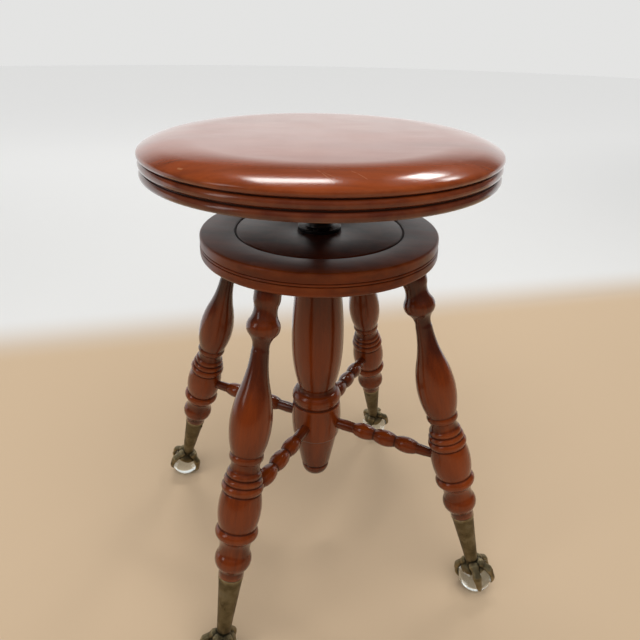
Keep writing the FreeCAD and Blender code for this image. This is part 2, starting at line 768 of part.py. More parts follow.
# Leg turning below the platform: distance down a leg of the reference length, radius, and
# whether an arc passes through
LEG_REFERENCE = 313.0
LEG_TURNING = (
    (0.0, 13.0, False), (12.0, 13.3, False), (17.0, 13.0, True), (20.5, 12.0, False),
    (26.5, 11.6, True), (33.0, 13.3, False), (35.0, 14.4, False), (42.5, 16.6, True),
    (50.0, 13.4, False), (55.0, 9.9, True), (66.0, 8.9, False), (81.0, 10.1, True),
    (104.0, 15.0, False), (116.0, 18.3, True), (128.0, 20.4, False), (143.0, 21.3, True),
    (158.0, 19.9, False), (166.0, 18.2, True), (172.5, 16.3, False), (177.5, 17.3, True),
    (181.0, 15.7, False), (185.5, 14.8, True), (190.5, 15.6, False), (194.0, 17.9, True),
    (197.4, 16.9, False), (197.9, 17.8, False), (201.2, 19.9, True), (204.4, 18.9, False),
    (204.9, 19.8, False), (209.0, 21.6, True), (213.2, 20.1, False), (214.2, 19.2, False),
    (215.2, 19.9, False), (233.0, 22.4, True), (253.0, 20.0, False), (254.4, 19.2, False),
    (255.8, 20.4, False), (261.6, 22.4, True), (266.8, 19.4, False), (275.0, 16.3, True),
    (284.6, 16.9, False), (294.2, 19.2, True), (303.6, 14.4, False), (305.4, 13.5, False),
)


def leg(name, azimuth):
    """Turned leg: angled top, tenon, vase, stacked rings, barrel, ring, cove, bead and spigot."""
    start = size.leg_tenon_length
    foot = start + leg_length
    slack = size.glue_gap
    mouth = size.ferrule_radius - size.ferrule_wall - slack
    toe = mouth - size.ferrule_taper
    neck = LEG_TURNING[0][1]
    crest = start - LEG_BLANK_SPARE
    points = [corner(0, crest), corner(neck, crest)]
    for station, radius, bends in LEG_TURNING:
        points.append((Size.of(radius), start + leg_length * (station / LEG_REFERENCE), bends))
    points += [corner(size.ferrule_radius, foot), corner(mouth, foot),
               corner(toe, foot + size.ferrule_depth), corner(0, foot + size.ferrule_depth)]
    body = turned("leg_" + name, points)
    before = body.Shape.Volume
    trim = body.newObject("PartDesign::SubtractiveBox", "leg_top_trim_" + name)
    trim.Length = 4 * neck
    trim.Width = 4 * neck
    trim.Height = 4 * neck
    turn = FreeCAD.Rotation(Vector(0, 1, 0), -math.degrees(splay))
    trim.Placement = FreeCAD.Placement(
        Vector(0, 0, start.value) + turn.multVec(Vector(-2 * neck, -2 * neck, -4 * neck)), turn)
    body.Tip = trim
    doc.recompute()
    if before - body.Shape.Volume < neck ** 3 / 4:
        raise ValueError("leg top is not trimmed")
    tenon = body.newObject("PartDesign::AdditiveCylinder", "leg_tenon_" + name)
    tenon.setExpression("Radius", size.leg_tenon_radius.text)
    tenon.setExpression("Height", (size.leg_tenon_length + 6.0).text)
    body.Tip = tenon
    doc.recompute()
    spot = Vector(0, 0, (start + stretcher_station).value)
    outward = Vector(math.cos(splay), 0, math.sin(splay))
    entry = spot - outward * (size.leg_barrel_radius.value / math.cos(splay) + LEAD_IN)
    bored(body, "leg_socket_" + name, size.stretcher_leg_radius + slack,
          size.stretcher_tenon + 0.5 + LEAD_IN, along(outward, entry))
    nail = Vector(-mouth.value - 3.0, 0, (foot + size.nail_drop).value)
    bored(body, "nail_hole_" + name, size.nail_radius + slack, size.nail_length + 3.0,
          along(Vector(1, 0, 0), nail))
    body.Placement = leg_placement(azimuth)
    doc.recompute()
    keep("leg_" + name, body)


def stretcher(name, azimuth):
    """Turned rail from the post to the leg: plain tapered ends and three beads."""
    boss = size.post_boss_radius
    leg_axis = size.leg_top_radius + stretcher_station * leg_spread / leg_axis_length
    surface = leg_axis - size.leg_barrel_radius * leg_axis_length / leg_drop
    span = surface - boss
    middle = boss + 0.522 * span
    pitch = 0.225 * span
    bead = size.stretcher_bead_radius
    waist = size.stretcher_waist_radius
    near = size.stretcher_post_radius
    far = size.stretcher_leg_radius
    points = [corner(0, boss - size.stretcher_tenon), corner(near, boss - size.stretcher_tenon),
              corner(near, boss + 0.03 * span), corner(near + 0.5, middle - 1.95 * pitch),
              corner(waist - 0.2, middle - 1.5 * pitch)]
    for index in (-1, 0, 1):
        points += [via(bead - 0.2 * abs(index), middle + index * pitch),
                   corner(waist - 0.2 * max(index, 0), middle + (index + 0.5) * pitch)]
    points += [corner(far + 0.5, middle + 1.85 * pitch), corner(far, surface - 0.02 * span),
               corner(far, surface + size.stretcher_tenon), corner(0, surface + size.stretcher_tenon)]
    place = along(radial(azimuth, 1.0, 0.0), Vector(0, 0, stretcher_height.value))
    keep("stretcher_" + name, turned("stretcher_" + name, points, place))


# Claw feet

# How far round the ball the claw's palm reaches, in degrees from the leg's line
PALM_ANGLE = 50.0
# Along a talon: degrees round the ball from the leg's line, share of the full thickness
TALON_STATIONS = ((12.0, 1.0), (28.0, 1.02), (44.0, 0.9), (58.0, 1.0), (74.0, 0.8),
                  (88.0, 0.7), (102.0, 0.48), (115.0, 0.2))


def talon(azimuth, centre):
    """One curved talon: a tapered finger with two knuckles that hugs the ball."""
    ball = size.ball_radius.value
    gap = size.talon_gap.value
    thick = size.talon_radius.value
    sections = []
    for angle, share in TALON_STATIONS:
        bend = math.radians(angle)
        radius = thick * share
        reach = ball + gap + radius
        spot = centre + Vector(reach * math.sin(bend), 0, -reach * math.cos(bend))
        heading = Vector(math.cos(bend), 0, math.sin(bend))
        ring = Part.Circle(spot, heading, radius)
        sections.append(Part.Wire([ring.toShape()]))
    finger = Part.makeLoft(sections, True, False)
    finger.rotate(centre, Vector(0, 0, 1), azimuth)
    return finger


def claw_foot(name, azimuth):
    """Cast claw: tapered socket for the leg, a palm over the ball and four talons."""
    mouth = size.leg_tenon_length + leg_length
    middle = size.leg_tenon_length + leg_axis_length
    outer = size.ferrule_radius
    inner = outer - size.ferrule_wall
    toe = inner - size.ferrule_taper
    cavity = mouth + size.ferrule_depth + 1.0
    reach = size.ball_radius + size.talon_gap
    crown = middle - reach
    palm = math.radians(PALM_ANGLE)
    points = [corner(inner, mouth), corner(outer, mouth), corner(outer - 0.1, mouth + 2.4),
              corner(outer - 0.9, mouth + 6.0), corner(outer - 4.8, crown - 22.4),
              corner(0.387 * reach, crown - 8.4), via(0.377 * reach, crown - 5.6),
              corner(0.478 * reach, crown - 2.4), via(0.662 * reach, crown + 0.03 * reach),
              corner(reach * math.sin(palm), middle - reach * math.cos(palm)),
              via(reach * math.sin(palm / 2), middle - reach * math.cos(palm / 2)),
              corner(0, crown), corner(0, cavity), corner(toe, cavity)]
    socket = turned("claw_socket_" + name, points)
    nail = Vector(-outer.value - 3.0, 0, (mouth + size.nail_drop).value)
    bored(socket, "nail_hole_claw_" + name, size.nail_radius + size.glue_gap, Size.of(8.0),
          along(Vector(1, 0, 0), nail))
    pieces = [socket]
    for index, turn in enumerate(TALON_AZIMUTHS):
        pieces.append(formed(f"talon_{name}_{index}", talon(turn, Vector(0, 0, middle.value))))
    whole = merged("claw_foot_" + name, pieces, leg_placement(azimuth))
    keep("claw_foot_" + name, whole)


def glass_ball(name, azimuth):
    """Glass ball with the small flat that it has worn on the floor."""
    ball = size.ball_radius
    flat = math.sqrt(ball.value ** 2 - ball_centre.value ** 2)
    place = FreeCAD.Placement(radial(azimuth, size.foot_radius.value, 0), FreeCAD.Rotation())
    keep("glass_ball_" + name, turned("glass_ball_" + name, [
        corner(0, 0), corner(flat, 0), via(ball, ball_centre), corner(0, ball_centre + ball)], place))


def ferrule_nails():
    """One round-headed nail through each socket into its leg."""
    nail = turned("ferrule_nail", [
        corner(0, 0), via(size.nail_head * 0.72, 0.35), corner(size.nail_head, 1.1),
        corner(size.nail_radius, 1.1), corner(size.nail_radius, size.nail_length - 1.6),
        corner(0, size.nail_length)])
    level = size.leg_tenon_length + leg_length + size.nail_drop
    places = []
    for azimuth in LEG_AZIMUTHS.values():
        head = Vector(-size.ferrule_radius.value - 0.35, 0, level.value)
        places.append(leg_placement(azimuth).multiply(along(Vector(1, 0, 0), head)))
    ring_of("ferrule_nails", nail, places)


seat()
spider()
spider_screws()
hub_pin()
lead_screw()
screw_nut()
nut_screws()
screw_stop()
platform()
centre_post()
for leg_name, leg_azimuth in LEG_AZIMUTHS.items():
    leg(leg_name, leg_azimuth)
    stretcher(leg_name, leg_azimuth)
    claw_foot(leg_name, leg_azimuth)
    glass_ball(leg_name, leg_azimuth)
ferrule_nails()
doc.recompute()

for item in doc.Objects:
    if "Invalid" in item.State or "Error" in item.State:
        raise ValueError(f"{item.Label} failed: {item.State}")
for label, item in nodes.items():
    if item.Shape.isNull() or not item.Shape.isValid() or not item.Shape.Solids:
        raise ValueError(f"{label} has no valid solid")

os.makedirs("parts", exist_ok=True)
for label, item in nodes.items():
    item.Shape.exportStep(f"parts/{label}.step")
    print(label, len(item.Shape.Solids), round(item.Shape.Volume))
print(len(nodes), "nodes, splay", round(math.degrees(splay), 2))
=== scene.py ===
"""Looks of the revolving piano stool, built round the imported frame."""

import logging
import math
from dataclasses import dataclass, field
from enum import Enum

import bmesh
import bpy
from mathutils import Matrix, Vector


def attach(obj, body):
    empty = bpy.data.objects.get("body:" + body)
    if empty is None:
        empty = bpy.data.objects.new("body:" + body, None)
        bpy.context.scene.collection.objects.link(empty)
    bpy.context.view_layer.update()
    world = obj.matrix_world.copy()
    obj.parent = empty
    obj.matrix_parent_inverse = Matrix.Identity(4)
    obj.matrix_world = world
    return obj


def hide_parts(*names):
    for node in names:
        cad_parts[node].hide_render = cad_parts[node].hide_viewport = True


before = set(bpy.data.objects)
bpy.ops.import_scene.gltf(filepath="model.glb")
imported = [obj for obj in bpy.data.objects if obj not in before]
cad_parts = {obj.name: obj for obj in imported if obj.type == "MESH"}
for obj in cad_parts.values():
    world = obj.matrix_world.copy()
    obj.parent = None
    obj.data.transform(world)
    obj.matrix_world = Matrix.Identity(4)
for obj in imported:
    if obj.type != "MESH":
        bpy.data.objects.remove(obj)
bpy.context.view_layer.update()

logging.basicConfig(level=logging.INFO, format="%(message)s")
LOG = logging.getLogger("stool")

MM = 0.001
NOTHING = 1e-9
VARNISH_IOR = 1.5
Pair = tuple[float, float]
Triple = tuple[float, float, float]
Corner = tuple[float, float, bool]
Colour = tuple[float, float, float]


# Shader wiring


class Wire:
    """A socket or a number that takes part in Python expressions."""

    def __init__(self, board: "Board", socket: bpy.types.NodeSocket) -> None:
        """Hold an output socket of a board."""
        self.board = board
        self.socket = socket

    def _maths(self, operation: str, first: "Wire | float", second: "Wire | float") -> "Wire":
        """Add one Math node.

        Args:
            operation: The node's operation.
            first: Its first value.
            second: Its second value.

        Returns:
            The node's result.
        """
        return self.board.add("ShaderNodeMath", {"operation": operation}, {0: first, 1: second})

    def __add__(self, other: "Wire | float") -> "Wire":
        """Sum."""
        return self._maths("ADD", self, other)

    __radd__ = __add__

    def __sub__(self, other: "Wire | float") -> "Wire":
        """Difference."""
        return self._maths("SUBTRACT", self, other)

    def __rsub__(self, other: "Wire | float") -> "Wire":
        """Difference from a number."""
        return self._maths("SUBTRACT", other, self)

    def __mul__(self, other: "Wire | float") -> "Wire":
        """Product."""
        return self._maths("MULTIPLY", self, other)

    __rmul__ = __mul__

    def __abs__(self) -> "Wire":
        """Size without sign."""
        return self._maths("ABSOLUTE", self, 0.0)

    def least(self, other: "Wire | float") -> "Wire":
        """The smaller of two values."""
        return self._maths("MINIMUM", self, other)

    def most(self, other: "Wire | float") -> "Wire":
        """The larger of two values."""
        return self._maths("MAXIMUM", self, other)

    def ramp(self, low: float, high: float, start: float = 0.0, end: float = 1.0) -> "Wire":
        """Carry a range smoothly onto another.

        Args:
            low: The value that gives start.
            high: The value that gives end.
            start: The result below low.
            end: The result above high.

        Returns:
            The carried value.
        """
        return self.board.add(
            "ShaderNodeMapRange", {"interpolation_type": "SMOOTHSTEP"},
            {"Value": self, "From Min": low, "From Max": high, "To Min": start, "To Max": end})

    def beside(self, out: int | str) -> "Wire":
        """Another output of the same node."""
        return Wire(self.board, self.socket.node.outputs[out])


class Board:
    """The nodes of one material or of the world."""

    def __init__(self, tree: bpy.types.NodeTree) -> None:
        """Start from an empty tree."""
        self.tree = tree
        tree.nodes.clear()

    def add(self, kind: str, settings: dict | None = None, inputs: dict | None = None,
            out: int | str = 0) -> Wire:
        """Add any node.

        Args:
            kind: The node's type.
            settings: Its own settings, set before its sockets.
            inputs: Values or wires for its sockets, by name or place.
            out: The output to hand back.

        Returns:
            The wire from that output, empty where the node has none.
        """
        node = self.tree.nodes.new(kind)
        for key, value in (settings or {}).items():
            setattr(node, key, value)
        for key, value in (inputs or {}).items():
            socket = node.inputs[key]
            if isinstance(value, Wire):
                self.tree.links.new(value.socket, socket)
            elif socket.type == "RGBA":
                socket.default_value = (*value, 1.0)
            else:
                socket.default_value = value
        return Wire(self, node.outputs[out] if node.outputs else None)

    def place(self) -> Wire:
        """Where a point lies, in metres."""
        return self.add("ShaderNodeTexCoord", out="Object")

    def layer(self, name: str, out: str = "Fac") -> Wire:
        """What a mesh's points carry under a name."""
        return self.add("ShaderNodeAttribute", {"attribute_name": name}, out=out)

    def blend(self, share: Wire | float, first: "Wire | Colour", second: "Wire | Colour") -> Wire:
        """Mix two colours.

        Args:
            share: How much of the second.
            first: The colour at 0.
            second: The colour at 1.

        Returns:
            The mixed colour.
        """
        return self.add("ShaderNodeMix", {"data_type": "RGBA", "clamp_factor": True},
                        {0: share, 6: first, 7: second}, out=2)

    def noise(self, place: Wire, scale: float | Triple, detail: float = 3.0,
              rough: float = 0.5) -> Wire:
        """Noise about 0.5.

        Args:
            place: Where it is read.
            scale: Its fineness, alike or along each axis.
            detail: How many finer rounds it has.
            rough: How much a finer round counts.

        Returns:
            The noise.
        """
        if isinstance(scale, tuple):
            place = self.add("ShaderNodeMapping", inputs={"Vector": place, "Scale": scale})
            scale = 1.0
        return self.add("ShaderNodeTexNoise", inputs={
            "Vector": place, "Scale": scale, "Detail": detail, "Roughness": rough})

    def bump(self, height: Wire, depth: float, strength: float) -> Wire:
        """A normal from a height of 0 to 1, where 1 stands for a depth in metres."""
        return self.add("ShaderNodeBump", inputs={
            "Height": height, "Distance": depth, "Strength": strength})

    def shader(self, inputs: dict) -> None:
        """Finish a surface with a Principled shader."""
        surface = self.add("ShaderNodeBsdfPrincipled", inputs=inputs)
        self.add("ShaderNodeOutputMaterial", inputs={"Surface": surface})


def fresh_board(name: str) -> tuple[bpy.types.Material, Board]:
    """A new material and its board.

    Args:
        name: The material's name.

    Returns:
        The material and its empty board.
    """
    material = bpy.data.materials.new(name)
    material.use_nodes = True
    return material, Board(material.node_tree)


# Finishes


@dataclass(frozen=True)
class Scratch:
    """A pale scratch on the seat's top, from one point to another, in millimetres."""

    start: Pair
    end: Pair
    width: float = 0.5
    wander: float = 2.4
    overrun: float = 0.5
    fade: float = 1.5
    gaps: Pair = (0.36, 0.5)

    def mask(self, x: Wire, y: Wire, wobble: Wire) -> Wire:
        """How much of the scratch is at a place.

        Args:
            x: The place's X in millimetres.
            y: The place's Y in millimetres.
            wobble: Noise about 0.5 that breaks the line up.

        Returns:
            1 on the line, 0 away from it.
        """
        line = Vector(self.end) - Vector(self.start)
        along = line.normalized()
        across = Vector((-along.y, along.x))
        u = (x - self.start[0]) * along.x + (y - self.start[1]) * along.y
        v = (x - self.start[0]) * across.x + (y - self.start[1]) * across.y
        off = abs(v + (wobble - 0.5) * self.wander)
        side = off.ramp(self.width * 0.4, self.width, 1.0, 0.0)
        ends = u.ramp(-self.overrun, self.fade) * u.ramp(
            line.length - self.fade, line.length + self.overrun, 1.0, 0.0)
        return side * ends * wobble.ramp(*self.gaps)


@dataclass(frozen=True)
class VarnishedWood:
    """Stained hardwood under old glossy varnish, on the grain, shade and swell of its piece, with
    painted shade in its grooves and painted light on its fullest parts.
    """

    name: str = "varnished_wood"
    deep: Colour = (0.024, 0.0048, 0.0028)
    warm: Colour = (0.205, 0.034, 0.0034)
    pored: Colour = (0.04, 0.008, 0.003)
    # The colour of the shade painted into the grooves.
    painted_groove_shade: Colour = (0.009, 0.0035, 0.003)
    rubbed: Colour = (0.40, 0.11, 0.03)
    bare: Colour = (0.42, 0.17, 0.06)
    raw: Colour = (0.17, 0.075, 0.036)
    broad: Triple = (0.05, 0.05, 0.006)
    figure: Triple = (0.22, 0.22, 0.012)
    streak: Triple = (1.6, 1.6, 0.03)
    pores: Triple = (3.4, 3.4, 0.16)
    ripple: Triple = (0.05, 0.05, 0.02)
    tone: float = 0.5
    # Painted light and shade: how much the swell layer lightens the tone, and the swell at which it
    # does nothing.
    glow: float = 0.65
    plain_swell: float = 0.72
    gloss: float = 0.2
    coat: float = 0.6
    coat_rough: float = 0.16
    specular: float = 0.15
    relief: float = 0.0009
    scratches: tuple[Scratch, ...] = ()

    def _marks(self, board: Board, grain: Wire) -> Wire:
        """Where nicks and scratches bare the wood.

        Args:
            board: The material's board.
            grain: The place in the plank.

        Returns:
            The share of bare wood.
        """
        nicks = board.noise(grain, 0.33, 2.0).ramp(0.77, 0.80)
        mark = nicks * board.noise(grain, 1.9, 1.0).ramp(0.5, 0.6) * 0.25
        if self.scratches:
            place = board.place()
            split = board.add("ShaderNodeSeparateXYZ", inputs={0: place})
            x, y = split * (1 / MM), split.beside(1) * (1 / MM)
            wobble = board.noise(place, 90.0)
            for scratch in self.scratches:
                mark = mark.most(scratch.mask(x, y, wobble))
        return mark

    def make(self) -> bpy.types.Material:
        """Build the material.

        Returns:
            The finished material.
        """
        material, board = fresh_board(self.name)
        grain = board.layer("grain", "Vector")
        shade, swell = board.layer("shade"), board.layer("swell")
        broad = board.noise(grain, self.broad)
        figure = board.noise(grain, self.figure, 4.0, 0.6)
        streak = board.noise(grain, self.streak, 3.0, 0.65)
        pore = board.noise(grain, self.pores, 2.0).ramp(0.60, 0.70)
        tone = (broad - 0.5) * 0.7 + (figure - 0.5) * 0.35 + (streak - 0.5) * 0.28 + self.tone
        # Painted light and shade: lighter where the turning is widest or the seat highest, darker
        # in the narrows, on the seat's beads and over the platform's middle.
        tone = tone + (swell - self.plain_swell) * self.glow
        colour = board.blend(tone.ramp(0.05, 0.95), self.deep, self.warm)
        colour = board.blend(pore * 0.2, colour, self.pored)

        # Painted shade in the grooves, worn stain on the edges, bare wood in the marks.
        crevice = shade.ramp(-0.12, -0.9, 0.0, 1.0)
        arris = shade.ramp(0.18, 0.8) * board.noise(grain, 0.05).ramp(0.3, 0.7)
        mark = self._marks(board, grain)
        # Painted shade: the grooves are darkened where the outline turns inward.
        colour = board.blend(crevice * 0.62, colour, self.painted_groove_shade)
        colour = board.blend(arris * 0.22, colour, self.rubbed)
        colour = board.blend(mark * 0.6, colour, self.bare)
        smudge = board.noise(grain, 0.02, 2.0)
        rough = smudge.ramp(0.3, 0.75, self.gloss - 0.03, self.gloss + 0.05)
        rough = (rough + crevice * 0.3 + mark * 0.3).least(0.9)

        # An underside, at the foot of the swell, is raw and dull.
        under = swell.ramp(0.004, 0.03, 1.0, 0.0)
        colour = board.blend(under, colour, self.raw)
        rough = rough + under * 0.45
        coat = (1.0 - under) * (1.0 - crevice * 0.75) * self.coat
        height = board.noise(grain, self.ripple, 2.0) * 0.5 + (1.0 - pore) * 0.012
        height = height + streak * 0.008 - mark * 0.03
        board.shader({"Base Color": colour, "Roughness": rough, "IOR": VARNISH_IOR,
                      "Normal": board.bump(height, self.relief, 0.5),
                      "Specular IOR Level": self.specular, "Coat Weight": coat,
                      "Coat Roughness": self.coat_rough, "Coat IOR": VARNISH_IOR})
        return material


@dataclass(frozen=True)
class AntiqueBrass:
    """Dark olive brass casting, rubbed bright on its high places."""

    name: str = "antique_brass"
    dark: Colour = (0.040, 0.034, 0.019)
    bright: Colour = (0.34, 0.27, 0.145)
    olive: Colour = (0.055, 0.052, 0.034)
    wear: float = 0.36
    relief: float = 0.0004

    def make(self) -> bpy.types.Material:
        """Build the material.

        Returns:
            The finished material.
        """
        material, board = fresh_board(self.name)
        place, shade = board.place(), board.layer("shade")
        cloud = board.noise(place, 70.0, 4.0, 0.6)
        speck = board.noise(place, 900.0, 2.0)
        rubbed = (shade * 1.6 + (cloud - 0.5) * 0.7 + self.wear).ramp(0.0, 1.0)
        colour = board.blend(rubbed, self.dark, self.bright)
        colour = board.blend(cloud.ramp(0.58, 0.72) * 0.5, colour, self.olive)
        board.shader({"Base Color": colour, "Metallic": cloud.ramp(0.45, 0.75, 0.95, 0.6),
                      "Roughness": rubbed.ramp(0.0, 1.0, 0.58, 0.33) + (speck - 0.5) * 0.12,
                      "Normal": board.bump(speck * 0.4 + cloud * 0.6, self.relief, 0.5)})
        return material


@dataclass(frozen=True)
class JapannedIron:
    """Black lacquered cast iron with a faint sand texture."""

    name: str = "japanned_iron"
    black: Colour = (0.008, 0.008, 0.009)
    worn: Colour = (0.06, 0.052, 0.045)
    metal: float = 0.2
    relief: float = 0.0005

    def make(self) -> bpy.types.Material:
        """Build the material.

        Returns:
            The finished material.
        """
        material, board = fresh_board(self.name)
        place = board.place()
        cloud = board.noise(place, 60.0, 4.0, 0.6)
        sand = board.noise(place, 650.0, 2.0)
        board.shader({"Base Color": board.blend(cloud.ramp(0.5, 0.8), self.black, self.worn),
                      "Roughness": cloud.ramp(0.3, 0.8, 0.3, 0.55), "Metallic": self.metal,
                      "Normal": board.bump(sand * 0.6 + cloud * 0.4, self.relief, 0.5)})
        return material


@dataclass(frozen=True)
class OldSteel:
    """Dull steel with brown oil and rust in patches."""

    name: str = "old_steel"
    clean: Colour = (0.30, 0.285, 0.27)
    brown: Colour = (0.075, 0.045, 0.03)
    oil: float = 0.5
    relief: float = 0.0003

    def make(self) -> bpy.types.Material:
        """Build the material.

        Returns:
            The finished material.
        """
        material, board = fresh_board(self.name)
        place = board.place()
        cloud = board.noise(place, 110.0, 5.0, 0.65)
        fine = board.noise(place, 1200.0, 2.0)
        stain = (cloud + self.oil - 0.5).ramp(0.42, 0.66)
        board.shader({"Base Color": board.blend(stain, self.clean, self.brown),
                      "Roughness": stain.ramp(0.0, 1.0, 0.32, 0.6) + (fine - 0.5) * 0.1,
                      "Metallic": stain.ramp(0.0, 1.0, 1.0, 0.55),
                      "Normal": board.bump(fine * 0.5 + cloud * 0.5, self.relief, 0.4)})
        return material


@dataclass(frozen=True)
class ClearGlass:
    """Moulded glass with faint scuffs."""

    name: str = "clear_glass"
    tint: Colour = (0.86, 0.91, 0.89)
    ior: float = 1.5
    relief: float = 0.0006

    def make(self) -> bpy.types.Material:
        """Build the material.

        Returns:
            The finished material.
        """
        material, board = fresh_board(self.name)
        place = board.place()
        scuff = board.noise(place, 260.0, 4.0, 0.7)
        wave = board.noise(place, 60.0, 2.0)
        board.shader({"Base Color": self.tint, "Roughness": scuff.ramp(0.5, 0.75, 0.02, 0.16),
                      "Normal": board.bump(wave, self.relief, 0.35),
                      "IOR": self.ior, "Transmission Weight": 1.0})
        return material


class Finish(Enum):
    """The stool's finishes."""

    # The glow paints light and shade: on the seat its top lighter and its beads darker, on the
    # platform its middle darker under the seat.
    SEAT_WOOD = VarnishedWood(
        name="seat_wood", deep=(0.075, 0.014, 0.006), warm=(0.315, 0.058, 0.0085),
        tone=0.56, glow=0.75, gloss=0.2, coat=0.8, coat_rough=0.14,
        scratches=(Scratch((-50.9, -141.2), (-45.0, -162.0), 0.3),
                   Scratch((-48.0, -146.0), (-41.5, -158.0), 0.22),
                   Scratch((-26.0, -149.0), (-19.0, -165.0), 0.28),
                   Scratch((-149.0, -85.0), (-145.0, -90.0), 1.2)))
    TURNED_WOOD = VarnishedWood(name="turned_wood", tone=0.50, gloss=0.22)
    PLATFORM_WOOD = VarnishedWood(name="platform_wood", tone=0.40, glow=0.5, gloss=0.36,
                                  coat=0.25, coat_rough=0.3)
    BRASS = AntiqueBrass()
    IRON = JapannedIron()
    STEEL = OldSteel()
    SCREW_STEEL = OldSteel(name="screw_steel", clean=(0.12, 0.11, 0.10), oil=0.62)
    GLASS = ClearGlass()

    def material(self) -> bpy.types.Material:
        """The finish's material, built once.

        Returns:
            The material.
        """
        found = bpy.data.materials.get(self.value.name + "_finish")
        if found is None:
            found = self.value.make()
            found.name = self.value.name + "_finish"
        return found


# Meshes


def arc_through(first: Pair, middle: Pair, last: Pair, step: float) -> list[Pair]:
    """Points along an arc through three points.

    Args:
        first: Where it starts.
        middle: A point on the way.
        last: Where it ends.
        step: The greatest spacing.

    Returns:
        The points after the first, the last one included.
    """
    (ax, ay), (bx, by), (cx, cy) = first, middle, last
    twice = 2 * (ax * (by - cy) + bx * (cy - ay) + cx * (ay - by))
    if abs(twice) < NOTHING:
        return [last]
    a2, b2, c2 = ax * ax + ay * ay, bx * bx + by * by, cx * cx + cy * cy
    ux = (a2 * (by - cy) + b2 * (cy - ay) + c2 * (ay - by)) / twice
    uy = (a2 * (cx - bx) + b2 * (ax - cx) + c2 * (bx - ax)) / twice
    radius = math.hypot(ax - ux, ay - uy)
    begin = math.atan2(ay - uy, ax - ux)
    sweep = math.atan2(cy - uy, cx - ux) - begin
    sweep = (sweep + math.pi) % (2 * math.pi) - math.pi
    count = max(4, math.ceil(abs(sweep) * radius / step))
    angles = [begin + sweep * index / count for index in range(1, count)]
    way = [(ux + radius * math.cos(angle), uy + radius * math.sin(angle)) for angle in angles]
    return way + [last]


class Glow(Enum):
    """Which measure of a turned piece its painted glow follows, its girth or its height."""

    GIRTH = 0
    HEIGHT = 1


@dataclass(frozen=True)
class Outline:
    """A turned outline of radius against height in millimetres, closed from end to start.

    A corner's third value says that an arc goes through it.
    """

    corners: tuple[Corner, ...]
    step: float = 1.2
    arris: float = 0.4
    glow: Glow = Glow.GIRTH
    sharp_turn: float = 0.3
    cut_share: float = 0.35
    reach: float = 1.6

    def swell(self, spot: Pair) -> float:
        """How far a point stands towards the outline's widest or highest, which sets its painted
        glow.

        Args:
            spot: The point's radius and height.

        Returns:
            A share of 1, which stands for the widest or highest point, lit most.
        """
        values = [corner[self.glow.value] for corner in self.corners]
        least = 0.0 if self.glow is Glow.GIRTH else min(values)
        return (spot[self.glow.value] - least) / (max(values) - least)

    def points(self) -> list[Pair]:
        """The outline as close points, its sharp corners slightly eased.

        Returns:
            The points in order.
        """
        path = [self.corners[0][:2]]
        middle = None
        for radius, height, bends in self.corners[1:] + self.corners[:1]:
            if bends:
                middle = (radius, height)
            elif middle is not None:
                path += arc_through(path[-1], middle, (radius, height), self.step)
                middle = None
            else:
                path.append((radius, height))
        path.pop()
        return self._eased(path)

    def _eased(self, path: list[Pair]) -> list[Pair]:
        """Round every sharp corner off the axis a little.

        Args:
            path: The points.

        Returns:
            The points with three in place of each sharp corner.
        """
        eased = []
        for index, here in enumerate(path):
            spot = Vector(here)
            back = Vector(path[index - 1]) - spot
            ahead = Vector(path[(index + 1) % len(path)]) - spot
            shortest = min(back.length, ahead.length)
            if (shortest <= 1e-6 or here[0] < 1e-6
                    or math.pi - back.angle(ahead) <= self.sharp_turn):
                eased.append(here)
                continue
            cut = min(self.arris, self.cut_share * shortest)
            first = spot + back.normalized() * cut
            last = spot + ahead.normalized() * cut
            eased += [tuple(first), tuple(spot * 0.5 + (first + last) * 0.25), tuple(last)]
        return eased

    def curl(self, path: list[Pair]) -> list[float]:
        """How far each point stands out of the outline or lies in a groove.

        Args:
            path: The outline's points.

        Returns:
            Above 0 on an edge, below 0 in a groove.
        """
        turns = []
        area = 0.0
        for index, here in enumerate(path):
            back = Vector(here) - Vector(path[index - 1])
            ahead = Vector(path[(index + 1) % len(path)]) - Vector(here)
            straight = min(back.length, ahead.length) < NOTHING
            turns.append(0.0 if straight else math.atan2(back.cross(ahead), back.dot(ahead)))
            area += Vector(path[index - 1]).cross(Vector(here))
        side = math.copysign(1.0, area)
        levels = []
        for here in path:
            near = [(math.dist(here, there), turn) for there, turn in zip(path, turns)]
            levels.append(side * sum(turn * math.exp(-((far / self.reach) ** 2))
                                     for far, turn in near if far < 3 * self.reach))
        return levels


def turned(outline: Outline, faces: int) -> bmesh.types.BMesh:
    """Spin an outline about Z.

    Args:
        outline: The outline.
        faces: How many faces it has round.

    Returns:
        The closed mesh in metres, with its shade and swell layers.
    """
    mesh = bmesh.new()
    shade = mesh.verts.layers.float.new("shade")
    swell = mesh.verts.layers.float.new("swell")
    path = outline.points()
    spots = []
    for (radius, height), level in zip(path, outline.curl(path)):
        spot = mesh.verts.new((radius * MM, 0.0, height * MM))
        spot[shade] = level
        spot[swell] = outline.swell((radius, height))
        spots.append(spot)
    lines = [mesh.edges.new(pair) for pair in zip(spots, spots[1:] + spots[:1])
             if max(pair[0].co.x, pair[1].co.x) > NOTHING]
    bmesh.ops.spin(mesh, geom=spots + lines, cent=(0, 0, 0), axis=(0, 0, 1), dvec=(0, 0, 0),
                   angle=2 * math.pi, steps=faces, use_merge=True, use_duplicate=False)
    bmesh.ops.remove_doubles(mesh, verts=mesh.verts[:], dist=1e-7)
    bmesh.ops.dissolve_degenerate(mesh, dist=1e-8, edges=mesh.edges[:])
    bmesh.ops.recalc_face_normals(mesh, faces=mesh.faces[:])
    return mesh


